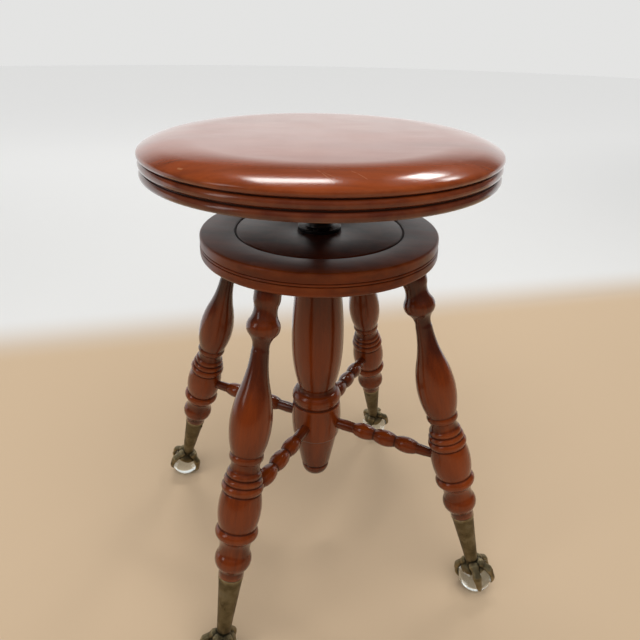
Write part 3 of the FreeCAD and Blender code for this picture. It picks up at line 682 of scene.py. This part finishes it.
def smoothed(mesh: bmesh.types.BMesh, crease: float = 0.62) -> None:
    """Shade a mesh smooth and keep its creases sharp.

    Args:
        mesh: The mesh.
        crease: The least angle of a crease, in radians.
    """
    for face in mesh.faces:
        face.smooth = True
    for edge in mesh.edges:
        if edge.is_manifold and edge.calc_face_angle(0.0) > crease:
            edge.smooth = False


def grained(mesh: bmesh.types.BMesh, turn: Matrix, shift: Vector) -> None:
    """Write where each point lies in the plank, in millimetres, the grain along Z.

    Args:
        mesh: The mesh before it is put in place.
        turn: Turns the piece's own axes onto the plank's.
        shift: Which part of the plank it is cut from.
    """
    layer = mesh.verts.layers.float_vector.new("grain")
    for spot in mesh.verts:
        spot[layer] = turn @ (spot.co / MM) + shift


def flat_grain(azimuth: float) -> Matrix:
    """The turn onto its plank of a flat board whose grain runs along an azimuth in degrees."""
    turn = Matrix.Rotation(math.radians(-azimuth), 3, "Z")
    return Matrix(((0, 1, 0), (0, 0, 1), (1, 0, 0))) @ turn


def curved(mesh: bmesh.types.BMesh, rounds: int = 3, gain: float = 3.0) -> None:
    """Write how far each point of a cast mesh stands out, in its shade layer.

    Args:
        mesh: The mesh.
        rounds: How often the levels are averaged.
        gain: How much they are raised.
    """
    layer = mesh.verts.layers.float.get("shade") or mesh.verts.layers.float.new("shade")
    mesh.normal_update()
    mesh.verts.index_update()
    around = [[edge.other_vert(spot) for edge in spot.link_edges] for spot in mesh.verts]
    levels = []
    for spot, others in zip(mesh.verts, around):
        total = sum((other.co - spot.co).normalized().dot(spot.normal) for other in others)
        levels.append(-gain * total / max(1, len(others)))
    for _ in range(rounds):
        means = [sum(levels[other.index] for other in others) / max(1, len(others))
                 for others in around]
        levels = [0.5 * level + 0.5 * mean for level, mean in zip(levels, means)]
    for spot, level in zip(mesh.verts, levels):
        spot[layer] = level


def cut_flat(mesh: bmesh.types.BMesh, outward: Vector) -> None:
    """Cut a mesh off at a plane through its origin and close it.

    Args:
        mesh: The mesh.
        outward: The direction of the side that goes.
    """
    cut = bmesh.ops.bisect_plane(mesh, geom=mesh.verts[:] + mesh.edges[:] + mesh.faces[:],
                                 plane_co=(0, 0, 0), plane_no=outward, clear_outer=True)
    rim = [item for item in cut["geom_cut"] if isinstance(item, bmesh.types.BMEdge)]
    bmesh.ops.holes_fill(mesh, edges=rim, sides=0)


def linked(name: str, data: bpy.types.ID) -> bpy.types.Object:
    """Put an object with its data in the scene.

    Args:
        name: The object's name.
        data: Its mesh, lamp or lens.

    Returns:
        The object.
    """
    thing = bpy.data.objects.new(name, data)
    bpy.context.scene.collection.objects.link(thing)
    return thing


def solid(mesh: bmesh.types.BMesh, name: str,
          material: bpy.types.Material | None = None) -> bpy.types.Object:
    """Turn a mesh into an object.

    Args:
        mesh: The mesh in its place, which is freed.
        name: The object's name.
        material: Its material.

    Returns:
        The object.
    """
    data = bpy.data.meshes.new(name)
    mesh.to_mesh(data)
    mesh.free()
    if material is not None:
        data.materials.append(material)
    return linked(name, data)


def put(mesh: bmesh.types.BMesh, name: str, finish: Finish, body: str, slot: str,
        *nodes: str) -> None:
    """Turn a mesh into a finished piece that stands for CAD nodes.

    Args:
        mesh: The mesh in its place, which is freed.
        name: The piece's name.
        finish: Its finish.
        body: The body it rides on.
        slot: Not used.
        nodes: The CAD nodes it stands for.
    """
    piece = solid(mesh, name, finish.material())
    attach(piece, body)
    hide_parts(*nodes)
    LOG.info("%s: %d faces", name, len(piece.data.polygons))


def dressed(node: str, finish: Finish) -> None:
    """Give a carried-over CAD node its finish.

    Args:
        node: The node's name.
        finish: Its finish.
    """
    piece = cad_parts[node]
    piece.data.materials.clear()
    piece.data.materials.append(finish.material())
    LOG.info("%s: CAD node, %s", node, finish.name.lower())


# Sub-assemblies


class Side(Enum):
    """The four legs, each with its azimuth in degrees."""

    FRONT_LEFT = -135.0
    FRONT_RIGHT = -45.0
    BACK_RIGHT = 45.0
    BACK_LEFT = 135.0

    @property
    def node(self) -> str:
        """The end of this side's node names."""
        return self.name.lower()

    @property
    def outward(self) -> Vector:
        """The level direction outwards."""
        angle = math.radians(self.value)
        return Vector((math.cos(angle), math.sin(angle), 0.0))


@dataclass(frozen=True)
class Levels:
    """Heights and radii that the sub-assemblies share, in millimetres."""

    platform_base: float = 410.0
    platform_top: float = 434.0
    seat_base: float = 496.0
    seat_top: float = 531.0
    leg_top_radius: float = 105.0
    foot_radius: float = 225.0
    ball_radius: float = 19.5
    ball_centre: float = 19.0
    claw_height: float = 96.0
    stretcher_share: float = 0.752
    barrel_radius: float = 22.4
    boss_radius: float = 30.6

    @property
    def drop(self) -> float:
        """From the platform down to the balls' middles."""
        return self.platform_base - self.ball_centre

    @property
    def spread(self) -> float:
        """How far the feet stand out past the legs' tops."""
        return self.foot_radius - self.leg_top_radius

    @property
    def axis_length(self) -> float:
        """Along a leg from the platform to its ball's middle."""
        return math.hypot(self.drop, self.spread)

    @property
    def splay(self) -> float:
        """A leg's lean in radians."""
        return math.atan2(self.spread, self.drop)

    @property
    def leg_length(self) -> float:
        """The leg's wood below the platform."""
        return self.axis_length - self.claw_height

    @property
    def stretcher_height(self) -> float:
        """The stretchers' level."""
        return self.platform_base - self.leg_length * self.stretcher_share * math.cos(self.splay)

    def leg_frame(self, side: Side) -> Matrix:
        """The leg's frame, +Z down the leg from the platform's underside and +X outwards.

        Args:
            side: Which leg.

        Returns:
            The frame in metres.
        """
        down = side.outward * math.sin(self.splay) - Vector((0, 0, math.cos(self.splay)))
        across = side.outward * math.cos(self.splay) + Vector((0, 0, math.sin(self.splay)))
        spot = (side.outward * self.leg_top_radius + Vector((0, 0, self.platform_base))) * MM
        turn = Matrix((across, down.cross(across), down)).transposed().to_4x4()
        return Matrix.Translation(spot) @ turn


@dataclass
class Seat:
    """The round seat, its spider, the screw that carries it and the loose stop washer."""

    levels: Levels
    faces: int = 256
    radius: float = 178.0
    bead_height: float = 8.2
    groove_width: float = 1.4
    bead_depth: float = 3.0
    groove_depth: float = 4.2
    lip_depth: float = 2.0
    flat_radius: float = 128.0
    grain_azimuth: float = -18.0
    plank: Triple = (0.0, 40.0, 0.0)
    carried: dict[str, Finish] = field(default_factory=lambda: {
        "seat_spider": Finish.IRON, "spider_screws": Finish.STEEL, "hub_pin": Finish.STEEL,
        "lead_screw": Finish.SCREW_STEEL, "end_nut": Finish.SCREW_STEEL,
        "stop_washer": Finish.SCREW_STEEL})

    def outline(self) -> Outline:
        """The seat's outline: flat underside, two beads, a pillow edge and a flat middle.

        Returns:
            The outline.
        """
        base, top, rim = self.levels.seat_base, self.levels.seat_top, self.radius
        step = self.bead_height + self.groove_width
        corners: list[Corner] = [(0.0, base, False)]
        for index in range(2):
            low = base + index * step
            high = low + self.bead_height
            corners += [(rim - self.bead_depth, low, False),
                        (rim - 0.4, (low + high) / 2, True),
                        (rim - self.bead_depth, high, False),
                        (rim - self.groove_depth, high, False),
                        (rim - self.groove_depth, high + self.groove_width, False)]
        lip = base + 2 * step
        fall = top - lip
        width = rim - self.flat_radius
        corners += [(rim - self.lip_depth, lip, False), (rim, lip + 0.2 * fall, True),
                    (rim - 1.1 * self.lip_depth, lip + 0.42 * fall, False),
                    (self.flat_radius + 0.773 * width, top - 0.321 * fall, True),
                    (self.flat_radius + 0.58 * width, top - 0.16 * fall, False),
                    (self.flat_radius + 0.29 * width, top - 0.04 * fall, True),
                    (self.flat_radius, top, False), (0.0, top, False)]
        # The seat's painted light follows height: its top lighter, its beads darker.
        return Outline(tuple(corners), step=1.6, arris=0.3, glow=Glow.HEIGHT)

    def build(self) -> None:
        """Make the seat and dress the metal that climbs with it."""
        mesh = turned(self.outline(), self.faces)
        smoothed(mesh)
        grained(mesh, flat_grain(self.grain_azimuth), Vector(self.plank))
        put(mesh, "seat_board", Finish.SEAT_WOOD, "seat", "wood", "seat")
        for node, finish in self.carried.items():
            dressed(node, finish)


@dataclass
class Platform:
    """The round platform with the cast nut in its middle."""

    levels: Levels
    faces: int = 224
    radius: float = 126.5
    rim_round: float = 4.6
    bead_level: float = 10.0
    bead_height: float = 2.8
    ring_radius: float = 89.0
    ring_width: float = 3.4
    ring_depth: float = 1.3
    socket_radius: float = 20.05
    shaft_radius: float = 14.05
    post_tenon: float = 12.0
    grain_azimuth: float = -30.0
    plank: Triple = (300.0, 90.0, 50.0)

    def outline(self) -> Outline:
        """The board's outline: moulded rim, ring groove and the nut's hole.

        Returns:
            The outline.
        """
        base, top, rim = self.levels.platform_base, self.levels.platform_top, self.radius
        mid = base + self.bead_level
        bead = self.bead_height
        half = self.ring_width / 2
        corners: tuple[Corner, ...] = (
            (self.socket_radius, base, False), (rim - self.rim_round, base, False),
            (rim - 1.1, base + 1.3, True), (rim, base + self.rim_round, False),
            (rim, mid, False), (rim - 1.5, mid + 0.7, False),
            (rim - 0.2, mid + 0.7 + bead / 2, True), (rim - 1.5, mid + 0.7 + bead, False),
            (rim - 0.5, mid + 1.4 + bead, False), (rim - 0.5, top - 2.4, False),
            (rim - 1.2, top - 0.7, True), (rim - 2.9, top, False),
            (self.ring_radius + half, top, False), (self.ring_radius, top - self.ring_depth, True),
            (self.ring_radius - half, top, False), (self.shaft_radius, top, False),
            (self.shaft_radius, base + self.post_tenon, False),
            (self.socket_radius, base + self.post_tenon, False))
        return Outline(corners, step=0.8, arris=0.35)

    def build(self) -> None:
        """Make the board and dress the nut and its screws."""
        mesh = turned(self.outline(), self.faces)
        smoothed(mesh)
        grained(mesh, flat_grain(self.grain_azimuth), Vector(self.plank))
        put(mesh, "platform_board", Finish.PLATFORM_WOOD, "base", "wood", "platform")
        dressed("screw_nut", Finish.IRON)
        dressed("nut_screws", Finish.STEEL)


@dataclass
class CentrePost:
    """The turned pendant under the platform."""

    levels: Levels
    faces: int = 128
    plank: Triple = (37.0, 210.0, 0.0)
    drop: float = 89.0
    tenon_radius: float = 20.0
    tenon_length: float = 11.5
    barrel_radius: float = 14.05
    bore_radius: float = 11.2
    bore_step: float = 388.0
    bore_base: float = 222.0
    drill_point: float = 3.0
    pendant: tuple[Corner, ...] = (
        (0.0, 0.0, False), (13.2, 4.6, True), (17.4, 16.4, False), (16.4, 17.6, False),
        (16.4, 19.4, False), (18.6, 20.8, False), (21.4, 36.0, True))
    boss: tuple[Corner, ...] = (
        (26.6, -24.0, False), (27.2, -21.6, False), (29.0, -20.0, False), (30.6, 2.0, True),
        (29.2, 24.6, False), (27.4, 25.6, False), (27.4, 27.0, False), (28.0, 28.2, False),
        (29.8, 35.6, True), (25.6, 43.4, False), (22.2, 46.2, True), (22.6, 51.0, False))
    vase: tuple[Corner, ...] = (
        (27.2, 0.125, True), (30.2, 0.294, False), (30.5, 0.4375, True), (29.4, 0.5875, False),
        (26.4, 0.794, True))
    collar: tuple[Corner, ...] = (
        (23.2, -14.0, False), (23.4, -11.0, True), (25.4, -8.4, False), (27.2, -5.0, True),
        (25.8, -1.6, False), (25.8, 0.0, False))

    def outline(self) -> Outline:
        """The post's outline from its button up to its tenon, with the bore.

        Returns:
            The outline.
        """
        base, mid = self.levels.platform_base, self.levels.stretcher_height
        foot = mid + self.boss[-1][1]
        reach = base + self.collar[0][1] - foot
        top = base + self.tenon_length
        corners = [(wide, mid - self.drop + rise, bends) for wide, rise, bends in self.pendant]
        corners += [(wide, mid + rise, bends) for wide, rise, bends in self.boss]
        corners += [(wide, foot + share * reach, bends) for wide, share, bends in self.vase]
        corners += [(wide, base + rise, bends) for wide, rise, bends in self.collar]
        corners += [(self.tenon_radius, base, False), (self.tenon_radius, top, False),
                    (self.barrel_radius, top, False), (self.barrel_radius, self.bore_step, False),
                    (self.bore_radius, self.bore_step, False),
                    (self.bore_radius, self.bore_base, False),
                    (0.0, self.bore_base - self.drill_point, False)]
        return Outline(tuple(corners), step=1.2, arris=0.5)

    def build(self) -> None:
        """Make the post."""
        mesh = turned(self.outline(), self.faces)
        smoothed(mesh)
        grained(mesh, Matrix.Identity(3), Vector(self.plank))
        put(mesh, "turned_post", Finish.TURNED_WOOD, "base", "wood", "centre_post")


@dataclass
class Legs:
    """The four turned legs and their stretchers."""

    levels: Levels
    leg_faces: int = 112
    leg_plank: Triple = (0.0, 0.0, 35.0)
    leg_next: Triple = (130.0, 61.0, 0.0)
    stretcher_faces: int = 64
    stretcher_plank: Triple = (20.0, 500.0, 12.0)
    stretcher_next: Triple = (90.0, 0.0, 0.0)
    reference: float = 313.0
    spare: float = 8.0
    ferrule_radius: float = 13.4
    spigot_radius: float = 11.45
    spigot_taper: float = 2.2
    spigot_length: float = 36.0
    turning: tuple[Corner, ...] = (
        (13.0, 0.0, False), (13.3, 12.0, False), (13.0, 17.0, True), (12.0, 20.5, False),
        (11.6, 26.5, True), (13.3, 33.0, False), (14.4, 35.0, False), (16.6, 42.5, True),
        (13.4, 50.0, False), (9.9, 55.0, True), (8.9, 66.0, False), (10.1, 81.0, True),
        (15.0, 104.0, False), (18.3, 116.0, True), (20.4, 128.0, False), (21.3, 143.0, True),
        (19.9, 158.0, False), (18.2, 166.0, True), (16.3, 172.5, False), (17.3, 177.5, True),
        (15.7, 181.0, False), (14.8, 185.5, True), (15.6, 190.5, False), (17.9, 194.0, True),
        (16.9, 197.4, False), (17.8, 197.9, False), (19.9, 201.2, True), (18.9, 204.4, False),
        (19.8, 204.9, False), (21.6, 209.0, True), (20.1, 213.2, False), (19.2, 214.2, False),
        (19.9, 215.2, False), (22.4, 233.0, True), (20.0, 253.0, False), (19.2, 254.4, False),
        (20.4, 255.8, False), (22.4, 261.6, True), (19.4, 266.8, False), (16.3, 275.0, True),
        (16.9, 284.6, False), (19.2, 294.2, True), (14.4, 303.6, False), (13.5, 305.4, False))
    stretcher_post: float = 6.4
    stretcher_leg: float = 5.6
    stretcher_bead: float = 9.8
    stretcher_waist: float = 6.6
    stretcher_tenon: float = 16.0

    def leg_outline(self) -> Outline:
        """The leg's outline, heights down the leg from the platform.

        Returns:
            The outline.
        """
        length = self.levels.leg_length
        toe = length + self.spigot_length
        corners: list[Corner] = [(0.0, -self.spare, False),
                                 (self.turning[0][0], -self.spare, False)]
        corners += [(wide, station * length / self.reference, bends)
                    for wide, station, bends in self.turning]
        corners += [(self.ferrule_radius, length, False), (self.spigot_radius, length, False),
                    (self.spigot_radius - self.spigot_taper, toe, False), (0.0, toe, False)]
        return Outline(tuple(corners), step=1.1, arris=0.5)

    def stretcher_outline(self) -> Outline:
        """The stretcher's outline, heights outwards from the screw's axis.

        Returns:
            The outline.
        """
        levels = self.levels
        boss = levels.boss_radius
        along = levels.leg_length * levels.stretcher_share
        axis = levels.leg_top_radius + along * math.sin(levels.splay)
        surface = axis - levels.barrel_radius / math.cos(levels.splay)
        span = surface - boss
        middle = boss + 0.522 * span
        pitch = 0.225 * span
        near, far = self.stretcher_post, self.stretcher_leg
        waist = self.stretcher_waist
        corners: list[Corner] = [
            (0.0, boss - self.stretcher_tenon, False), (near, boss - self.stretcher_tenon, False),
            (near, boss + 0.03 * span, False), (near + 0.5, middle - 1.95 * pitch, False),
            (waist - 0.2, middle - 1.5 * pitch, False)]
        for index in (-1, 0, 1):
            corners += [(self.stretcher_bead - 0.2 * abs(index), middle + index * pitch, True),
                        (waist - 0.2 * max(index, 0), middle + (index + 0.5) * pitch, False)]
        corners += [(far + 0.5, middle + 1.85 * pitch, False), (far, surface - 0.02 * span, False),
                    (far, surface + self.stretcher_tenon, False),
                    (0.0, surface + self.stretcher_tenon, False)]
        return Outline(tuple(corners), step=1.0, arris=0.4)

    def build(self) -> None:
        """Make the legs and stretchers, each cut from its own part of the plank."""
        for index, side in enumerate(Side):
            self._leg(index, side)
            self._stretcher(index, side)

    def _leg(self, index: int, side: Side) -> None:
        """Make one leg, its top cut level with the platform's underside.

        Args:
            index: Which part of the plank it is cut from.
            side: Which leg.
        """
        mesh = turned(self.leg_outline(), self.leg_faces)
        place = self.levels.leg_frame(side)
        cut_flat(mesh, place.inverted().to_3x3() @ Vector((0, 0, 1)))
        smoothed(mesh)
        plank = Vector(self.leg_plank) + Vector(self.leg_next) * index
        grained(mesh, Matrix.Identity(3), plank)
        mesh.transform(place)
        put(mesh, "turned_leg_" + side.node, Finish.TURNED_WOOD, "base", "wood",
            "leg_" + side.node)

    def _stretcher(self, index: int, side: Side) -> None:
        """Make one stretcher.

        Args:
            index: Which part of the plank it is cut from.
            side: Which leg it runs to.
        """
        mesh = turned(self.stretcher_outline(), self.stretcher_faces)
        smoothed(mesh)
        plank = Vector(self.stretcher_plank) + Vector(self.stretcher_next) * index
        grained(mesh, Matrix.Identity(3), plank)
        turn = Vector((0, 0, 1)).rotation_difference(side.outward).to_matrix().to_4x4()
        mesh.transform(Matrix.Translation((0, 0, self.levels.stretcher_height * MM)) @ turn)
        put(mesh, "beaded_stretcher_" + side.node, Finish.TURNED_WOOD, "base", "wood",
            "stretcher_" + side.node)


@dataclass
class ClawFeet:
    """The four cast claws, each over its glass ball."""

    levels: Levels
    socket_faces: int = 72
    ball_faces: tuple[int, int] = (96, 64)
    outer: float = 13.4
    inner: float = 11.5
    taper: float = 2.2
    cavity: float = 37.0
    gap: float = 0.15
    palm_angle: float = 50.0
    talon_faces: int = 20
    talon_radius: float = 3.7
    talon_width: float = 1.4
    talon_azimuths: tuple[float, ...] = (0.0, 62.0, -62.0, 180.0)
    talon_stations: tuple[tuple[float, float], ...] = (
        (8.0, 0.9), (18.0, 1.12), (27.0, 1.14), (37.0, 0.86), (47.0, 0.95), (56.0, 1.08),
        (66.0, 0.92), (76.0, 0.74), (88.0, 0.72), (99.0, 0.55), (109.0, 0.36), (117.0, 0.12))
    voxel: float = 0.75
    rounds: int = 3
    crease: float = 3.0

    def socket(self) -> Outline:
        """The socket and the palm, heights down the leg from the platform.

        Returns:
            The outline.
        """
        mouth = self.levels.leg_length
        middle = self.levels.axis_length
        reach = self.levels.ball_radius + self.gap
        crown = middle - reach
        palm = math.radians(self.palm_angle)
        cavity = mouth + self.cavity
        corners: tuple[Corner, ...] = (
            (self.inner, mouth, False), (self.outer, mouth, False),
            (self.outer - 0.1, mouth + 2.4, False), (self.outer - 0.9, mouth + 6.0, False),
            (self.outer - 4.8, crown - 22.4, False),
            (0.387 * reach, crown - 8.4, False), (0.377 * reach, crown - 5.6, True),
            (0.478 * reach, crown - 2.4, False), (0.662 * reach, crown + 0.03 * reach, True),
            (reach * math.sin(palm), middle - reach * math.cos(palm), False),
            (reach * math.sin(palm / 2), middle - reach * math.cos(palm / 2), True),
            (0.0, crown, False), (0.0, cavity, False), (self.inner - self.taper, cavity, False))
        return Outline(corners, step=0.9, arris=0.3)

    def _talon(self, mesh: bmesh.types.BMesh, azimuth: float) -> None:
        """Add one talon, a tapered finger with knuckles that hugs the ball.

        Args:
            mesh: The claw's mesh.
            azimuth: Degrees round the ball from the outward talon.
        """
        centre = Vector((0, 0, self.levels.axis_length * MM))
        spin = Matrix.Rotation(math.radians(azimuth), 4, "Z")
        rings = []
        last = len(self.talon_stations) - 1
        for index, (angle, share) in enumerate(self.talon_stations):
            bend = math.radians(angle)
            wide = self.talon_width if 0 < index < last else 1.0
            radius = self.talon_radius * share
            reach = (self.levels.ball_radius + self.gap + radius) * MM
            spot = centre + Vector((reach * math.sin(bend), 0, -reach * math.cos(bend)))
            heading = Vector((math.cos(bend), 0, math.sin(bend)))
            turn = Vector((0, 0, 1)).rotation_difference(heading).to_matrix().to_4x4()
            matrix = spin @ Matrix.Translation(spot) @ turn @ Matrix.Diagonal((1, wide, 1, 1))
            ring = bmesh.ops.create_circle(mesh, cap_ends=index in (0, last), radius=radius * MM,
                                           segments=self.talon_faces, matrix=matrix)
            rings.append({edge for corner in ring["verts"] for edge in corner.link_edges})
        for first, second in zip(rings, rings[1:]):
            bmesh.ops.bridge_loops(mesh, edges=list(first | second))

    def _casting(self) -> bpy.types.Mesh:
        """The whole claw as one skin in the leg's frame.

        Returns:
            The mesh, with its shade layer.
        """
        mesh = turned(self.socket(), self.socket_faces)
        for azimuth in self.talon_azimuths:
            self._talon(mesh, azimuth)
        bmesh.ops.recalc_face_normals(mesh, faces=mesh.faces[:])
        pattern = solid(mesh, "claw_pattern")
        skin = pattern.modifiers.new("skin", "REMESH")
        skin.mode = "VOXEL"
        skin.voxel_size = self.voxel * MM
        graph = bpy.context.evaluated_depsgraph_get()
        cast = bpy.data.meshes.new_from_object(pattern.evaluated_get(graph))
        bpy.data.objects.remove(pattern)
        mesh = bmesh.new()
        mesh.from_mesh(cast)
        for _ in range(self.rounds):
            bmesh.ops.smooth_vert(mesh, verts=mesh.verts[:], factor=0.5,
                                  use_axis_x=True, use_axis_y=True, use_axis_z=True)
        curved(mesh)
        smoothed(mesh, self.crease)
        mesh.to_mesh(cast)
        mesh.free()
        return cast

    def build(self) -> None:
        """Make the claws and balls and dress the nails."""
        cast = self._casting()
        for side in Side:
            mesh = bmesh.new()
            mesh.from_mesh(cast)
            mesh.transform(self.levels.leg_frame(side))
            put(mesh, "cast_claw_" + side.node, Finish.BRASS, "base", "brass",
                "claw_foot_" + side.node)
            self._ball(side)
        dressed("ferrule_nails", Finish.BRASS)

    def _ball(self, side: Side) -> None:
        """Make one glass ball with its worn flat on the floor.

        Args:
            side: Which foot.
        """
        mesh = bmesh.new()
        around, upright = self.ball_faces
        bmesh.ops.create_uvsphere(mesh, u_segments=around, v_segments=upright,
                                  radius=self.levels.ball_radius * MM)
        spot = side.outward * self.levels.foot_radius + Vector((0, 0, self.levels.ball_centre))
        mesh.transform(Matrix.Translation(spot * MM))
        cut_flat(mesh, Vector((0, 0, -1)))
        smoothed(mesh)
        put(mesh, "clear_ball_" + side.node, Finish.GLASS, "base", "glass",
            "glass_ball_" + side.node)


# Studio


def direction(azimuth: float, elevation: float) -> Vector:
    """The direction towards an azimuth and elevation.

    Args:
        azimuth: Degrees round from +X.
        elevation: Degrees above the floor.

    Returns:
        The direction, of length 1.
    """
    turn, rise = math.radians(azimuth), math.radians(elevation)
    level = math.cos(rise)
    return Vector((level * math.cos(turn), level * math.sin(turn), math.sin(rise)))


def hung(name: str, lamp: bpy.types.Light, spot: Vector, aim: Vector) -> bpy.types.Object:
    """Put a lamp in the scene, shining against a direction.

    Args:
        name: The object's name.
        lamp: The lamp.
        spot: Where it goes.
        aim: The direction from what it lights towards it.

    Returns:
        The lamp's object.
    """
    holder = linked(name, lamp)
    holder.location = spot
    holder.rotation_mode = "QUATERNION"
    holder.rotation_quaternion = aim.to_track_quat("Z", "Y")
    return holder


@dataclass(frozen=True)
class Panel:
    """A soft lamp seen from the seat in a direction, in degrees and metres."""

    name: str
    azimuth: float
    elevation: float
    width: float
    depth: float
    power: float
    distance: float = 2.2
    middle: Triple = (-0.03, -0.12, 0.5)
    tint: Colour = (1.0, 0.985, 0.96)

    def hang(self) -> None:
        """Put the lamp in the scene, facing the seat."""
        lamp = bpy.data.lights.new(self.name, "AREA")
        lamp.shape = "RECTANGLE"
        lamp.size, lamp.size_y = self.width, self.depth
        lamp.energy = self.power
        lamp.color = self.tint
        aim = direction(self.azimuth, self.elevation)
        hung(self.name, lamp, Vector(self.middle) + aim * self.distance, aim)


@dataclass
class Studio:
    """A plain pale floor, a reflector card, soft light and the camera at the photograph's angle."""

    floor_radius: float = 9.0
    floor_near: Colour = (0.575, 0.43, 0.285)
    floor_far: Colour = (0.76, 0.76, 0.75)
    floor_end: Colour = (0.99, 0.99, 0.98)
    card: Colour = (0.90, 0.90, 0.89)
    card_glow: float = 1.05
    card_middle: Pair = (0.251, 0.562)
    card_turn: float = -5.45
    card_half_width: float = 2.6
    card_height: float = 0.92
    card_fade: float = 0.64
    sky: Colour = (0.86, 0.86, 0.85)
    sky_light: float = 0.10
    sky_seen: float = 0.90
    sun_power: float = 2.6
    sun_spread: float = 70.0
    sun_aim: Pair = (-100.0, 62.0)
    sensor: float = 36.0
    focal: float = 32.08
    camera_right: Triple = (0.94814085, -0.31738426, 0.01720933)
    camera_up: Triple = (0.13326487, 0.44609728, 0.88500717)
    camera_spot: Triple = (-0.188155, -0.553335, 0.6299)
    panels: tuple[Panel, ...] = (
        Panel("ceiling_lamp", 84.0, 56.0, 0.75, 0.34, 11.0),
        Panel("side_lamp", 42.0, 42.0, 0.34, 0.26, 5.0),
        Panel("far_lamp", 28.0, 41.0, 0.20, 0.20, 1.6),
        Panel("front_lamp", -172.0, 25.0, 0.5, 1.3, 5.0),
    )

    def build(self) -> None:
        """Make the floor, the reflector card, the light and the camera."""
        self._floor()
        self._card()
        self._world()
        for panel in self.panels:
            panel.hang()
        self._daylight()
        self._camera()
        bpy.context.scene.view_settings.view_transform = "Standard"

    def _floor(self) -> None:
        """Make the round floor, warm under the stool and pale behind it."""
        mesh = bmesh.new()
        bmesh.ops.create_circle(mesh, cap_ends=True, segments=128, radius=self.floor_radius)
        material, board = fresh_board("pale_floor")
        outward = direction(self.card_turn + 90.0, 0.0)
        behind = board.add("ShaderNodeVectorMath", {"operation": "DOT_PRODUCT"},
                           {0: board.place(), 1: tuple(outward)}, out="Value")
        line = Vector((*self.card_middle, 0.0)).dot(outward)
        colour = board.blend(behind.ramp(line - 0.05, line + 0.16), self.floor_near, self.floor_far)
        colour = board.blend(behind.ramp(line + 0.2, line + 2.2), colour, self.floor_end)
        board.shader({"Base Color": colour, "Roughness": 0.6, "Specular IOR Level": 0.2})
        solid(mesh, "floor", material)

    def _card(self) -> None:
        """Stand up the pale card that the varnish reflects, out of the camera's own view."""
        mesh = bmesh.new()
        bmesh.ops.create_grid(mesh, x_segments=1, y_segments=1, size=1.0)
        half = self.card_height / 2
        turn = Matrix.Rotation(math.radians(self.card_turn), 4, "Z")
        upright = Matrix.Rotation(math.pi / 2, 4, "X")
        mesh.transform(Matrix.Translation((*self.card_middle, half)) @ turn @ upright
                       @ Matrix.Diagonal((self.card_half_width, half, 1.0, 1.0)))
        material, board = fresh_board("pale_card")
        height = board.add("ShaderNodeSeparateXYZ", inputs={0: board.place()}, out=2)
        black = (0.0, 0.0, 0.0)
        glow = board.blend(height.ramp(self.card_fade, self.card_height), self.card, black)
        board.shader({"Base Color": black, "Roughness": 1.0, "Specular IOR Level": 0.0,
                      "Emission Color": glow, "Emission Strength": self.card_glow})
        card = solid(mesh, "reflector_card", material)
        card.visible_camera = card.visible_shadow = card.visible_diffuse = False

    def _world(self) -> None:
        """Make the even pale surroundings."""
        world = bpy.data.worlds.new("pale_room")
        bpy.context.scene.world = world
        world.use_nodes = True
        board = Board(world.node_tree)
        path = board.add("ShaderNodeLightPath", out="Is Camera Ray")
        lit, seen = (board.add("ShaderNodeBackground",
                               inputs={"Color": self.sky, "Strength": light})
                     for light in (self.sky_light, self.sky_seen))
        mixed = board.add("ShaderNodeMixShader", inputs={0: path, 1: lit, 2: seen})
        board.add("ShaderNodeOutputWorld", inputs={"Surface": mixed})

    def _daylight(self) -> None:
        """Hang the wide even light that no varnish mirrors."""
        lamp = bpy.data.lights.new("daylight", "SUN")
        lamp.energy = self.sun_power
        lamp.angle = math.radians(self.sun_spread)
        aim = direction(*self.sun_aim)
        hung("daylight", lamp, aim * 3.0, aim).visible_glossy = False

    def _camera(self) -> None:
        """Place the camera where the photograph was taken from."""
        lens = bpy.data.cameras.new("camera")
        lens.sensor_width, lens.lens = self.sensor, self.focal
        lens.clip_start, lens.clip_end = 0.01, 50.0
        camera = linked("camera", lens)
        right, up = Vector(self.camera_right), Vector(self.camera_up)
        turn = Matrix((right, up, right.cross(up))).transposed().to_4x4()
        camera.matrix_world = Matrix.Translation(self.camera_spot) @ turn
        bpy.context.scene.camera = camera


def main() -> None:
    """Build every sub-assembly and the studio."""
    levels = Levels()
    Seat(levels).build()
    Platform(levels).build()
    CentrePost(levels).build()
    Legs(levels).build()
    ClawFeet(levels).build()
    Studio().build()


if __name__ == "__main__":
    main()
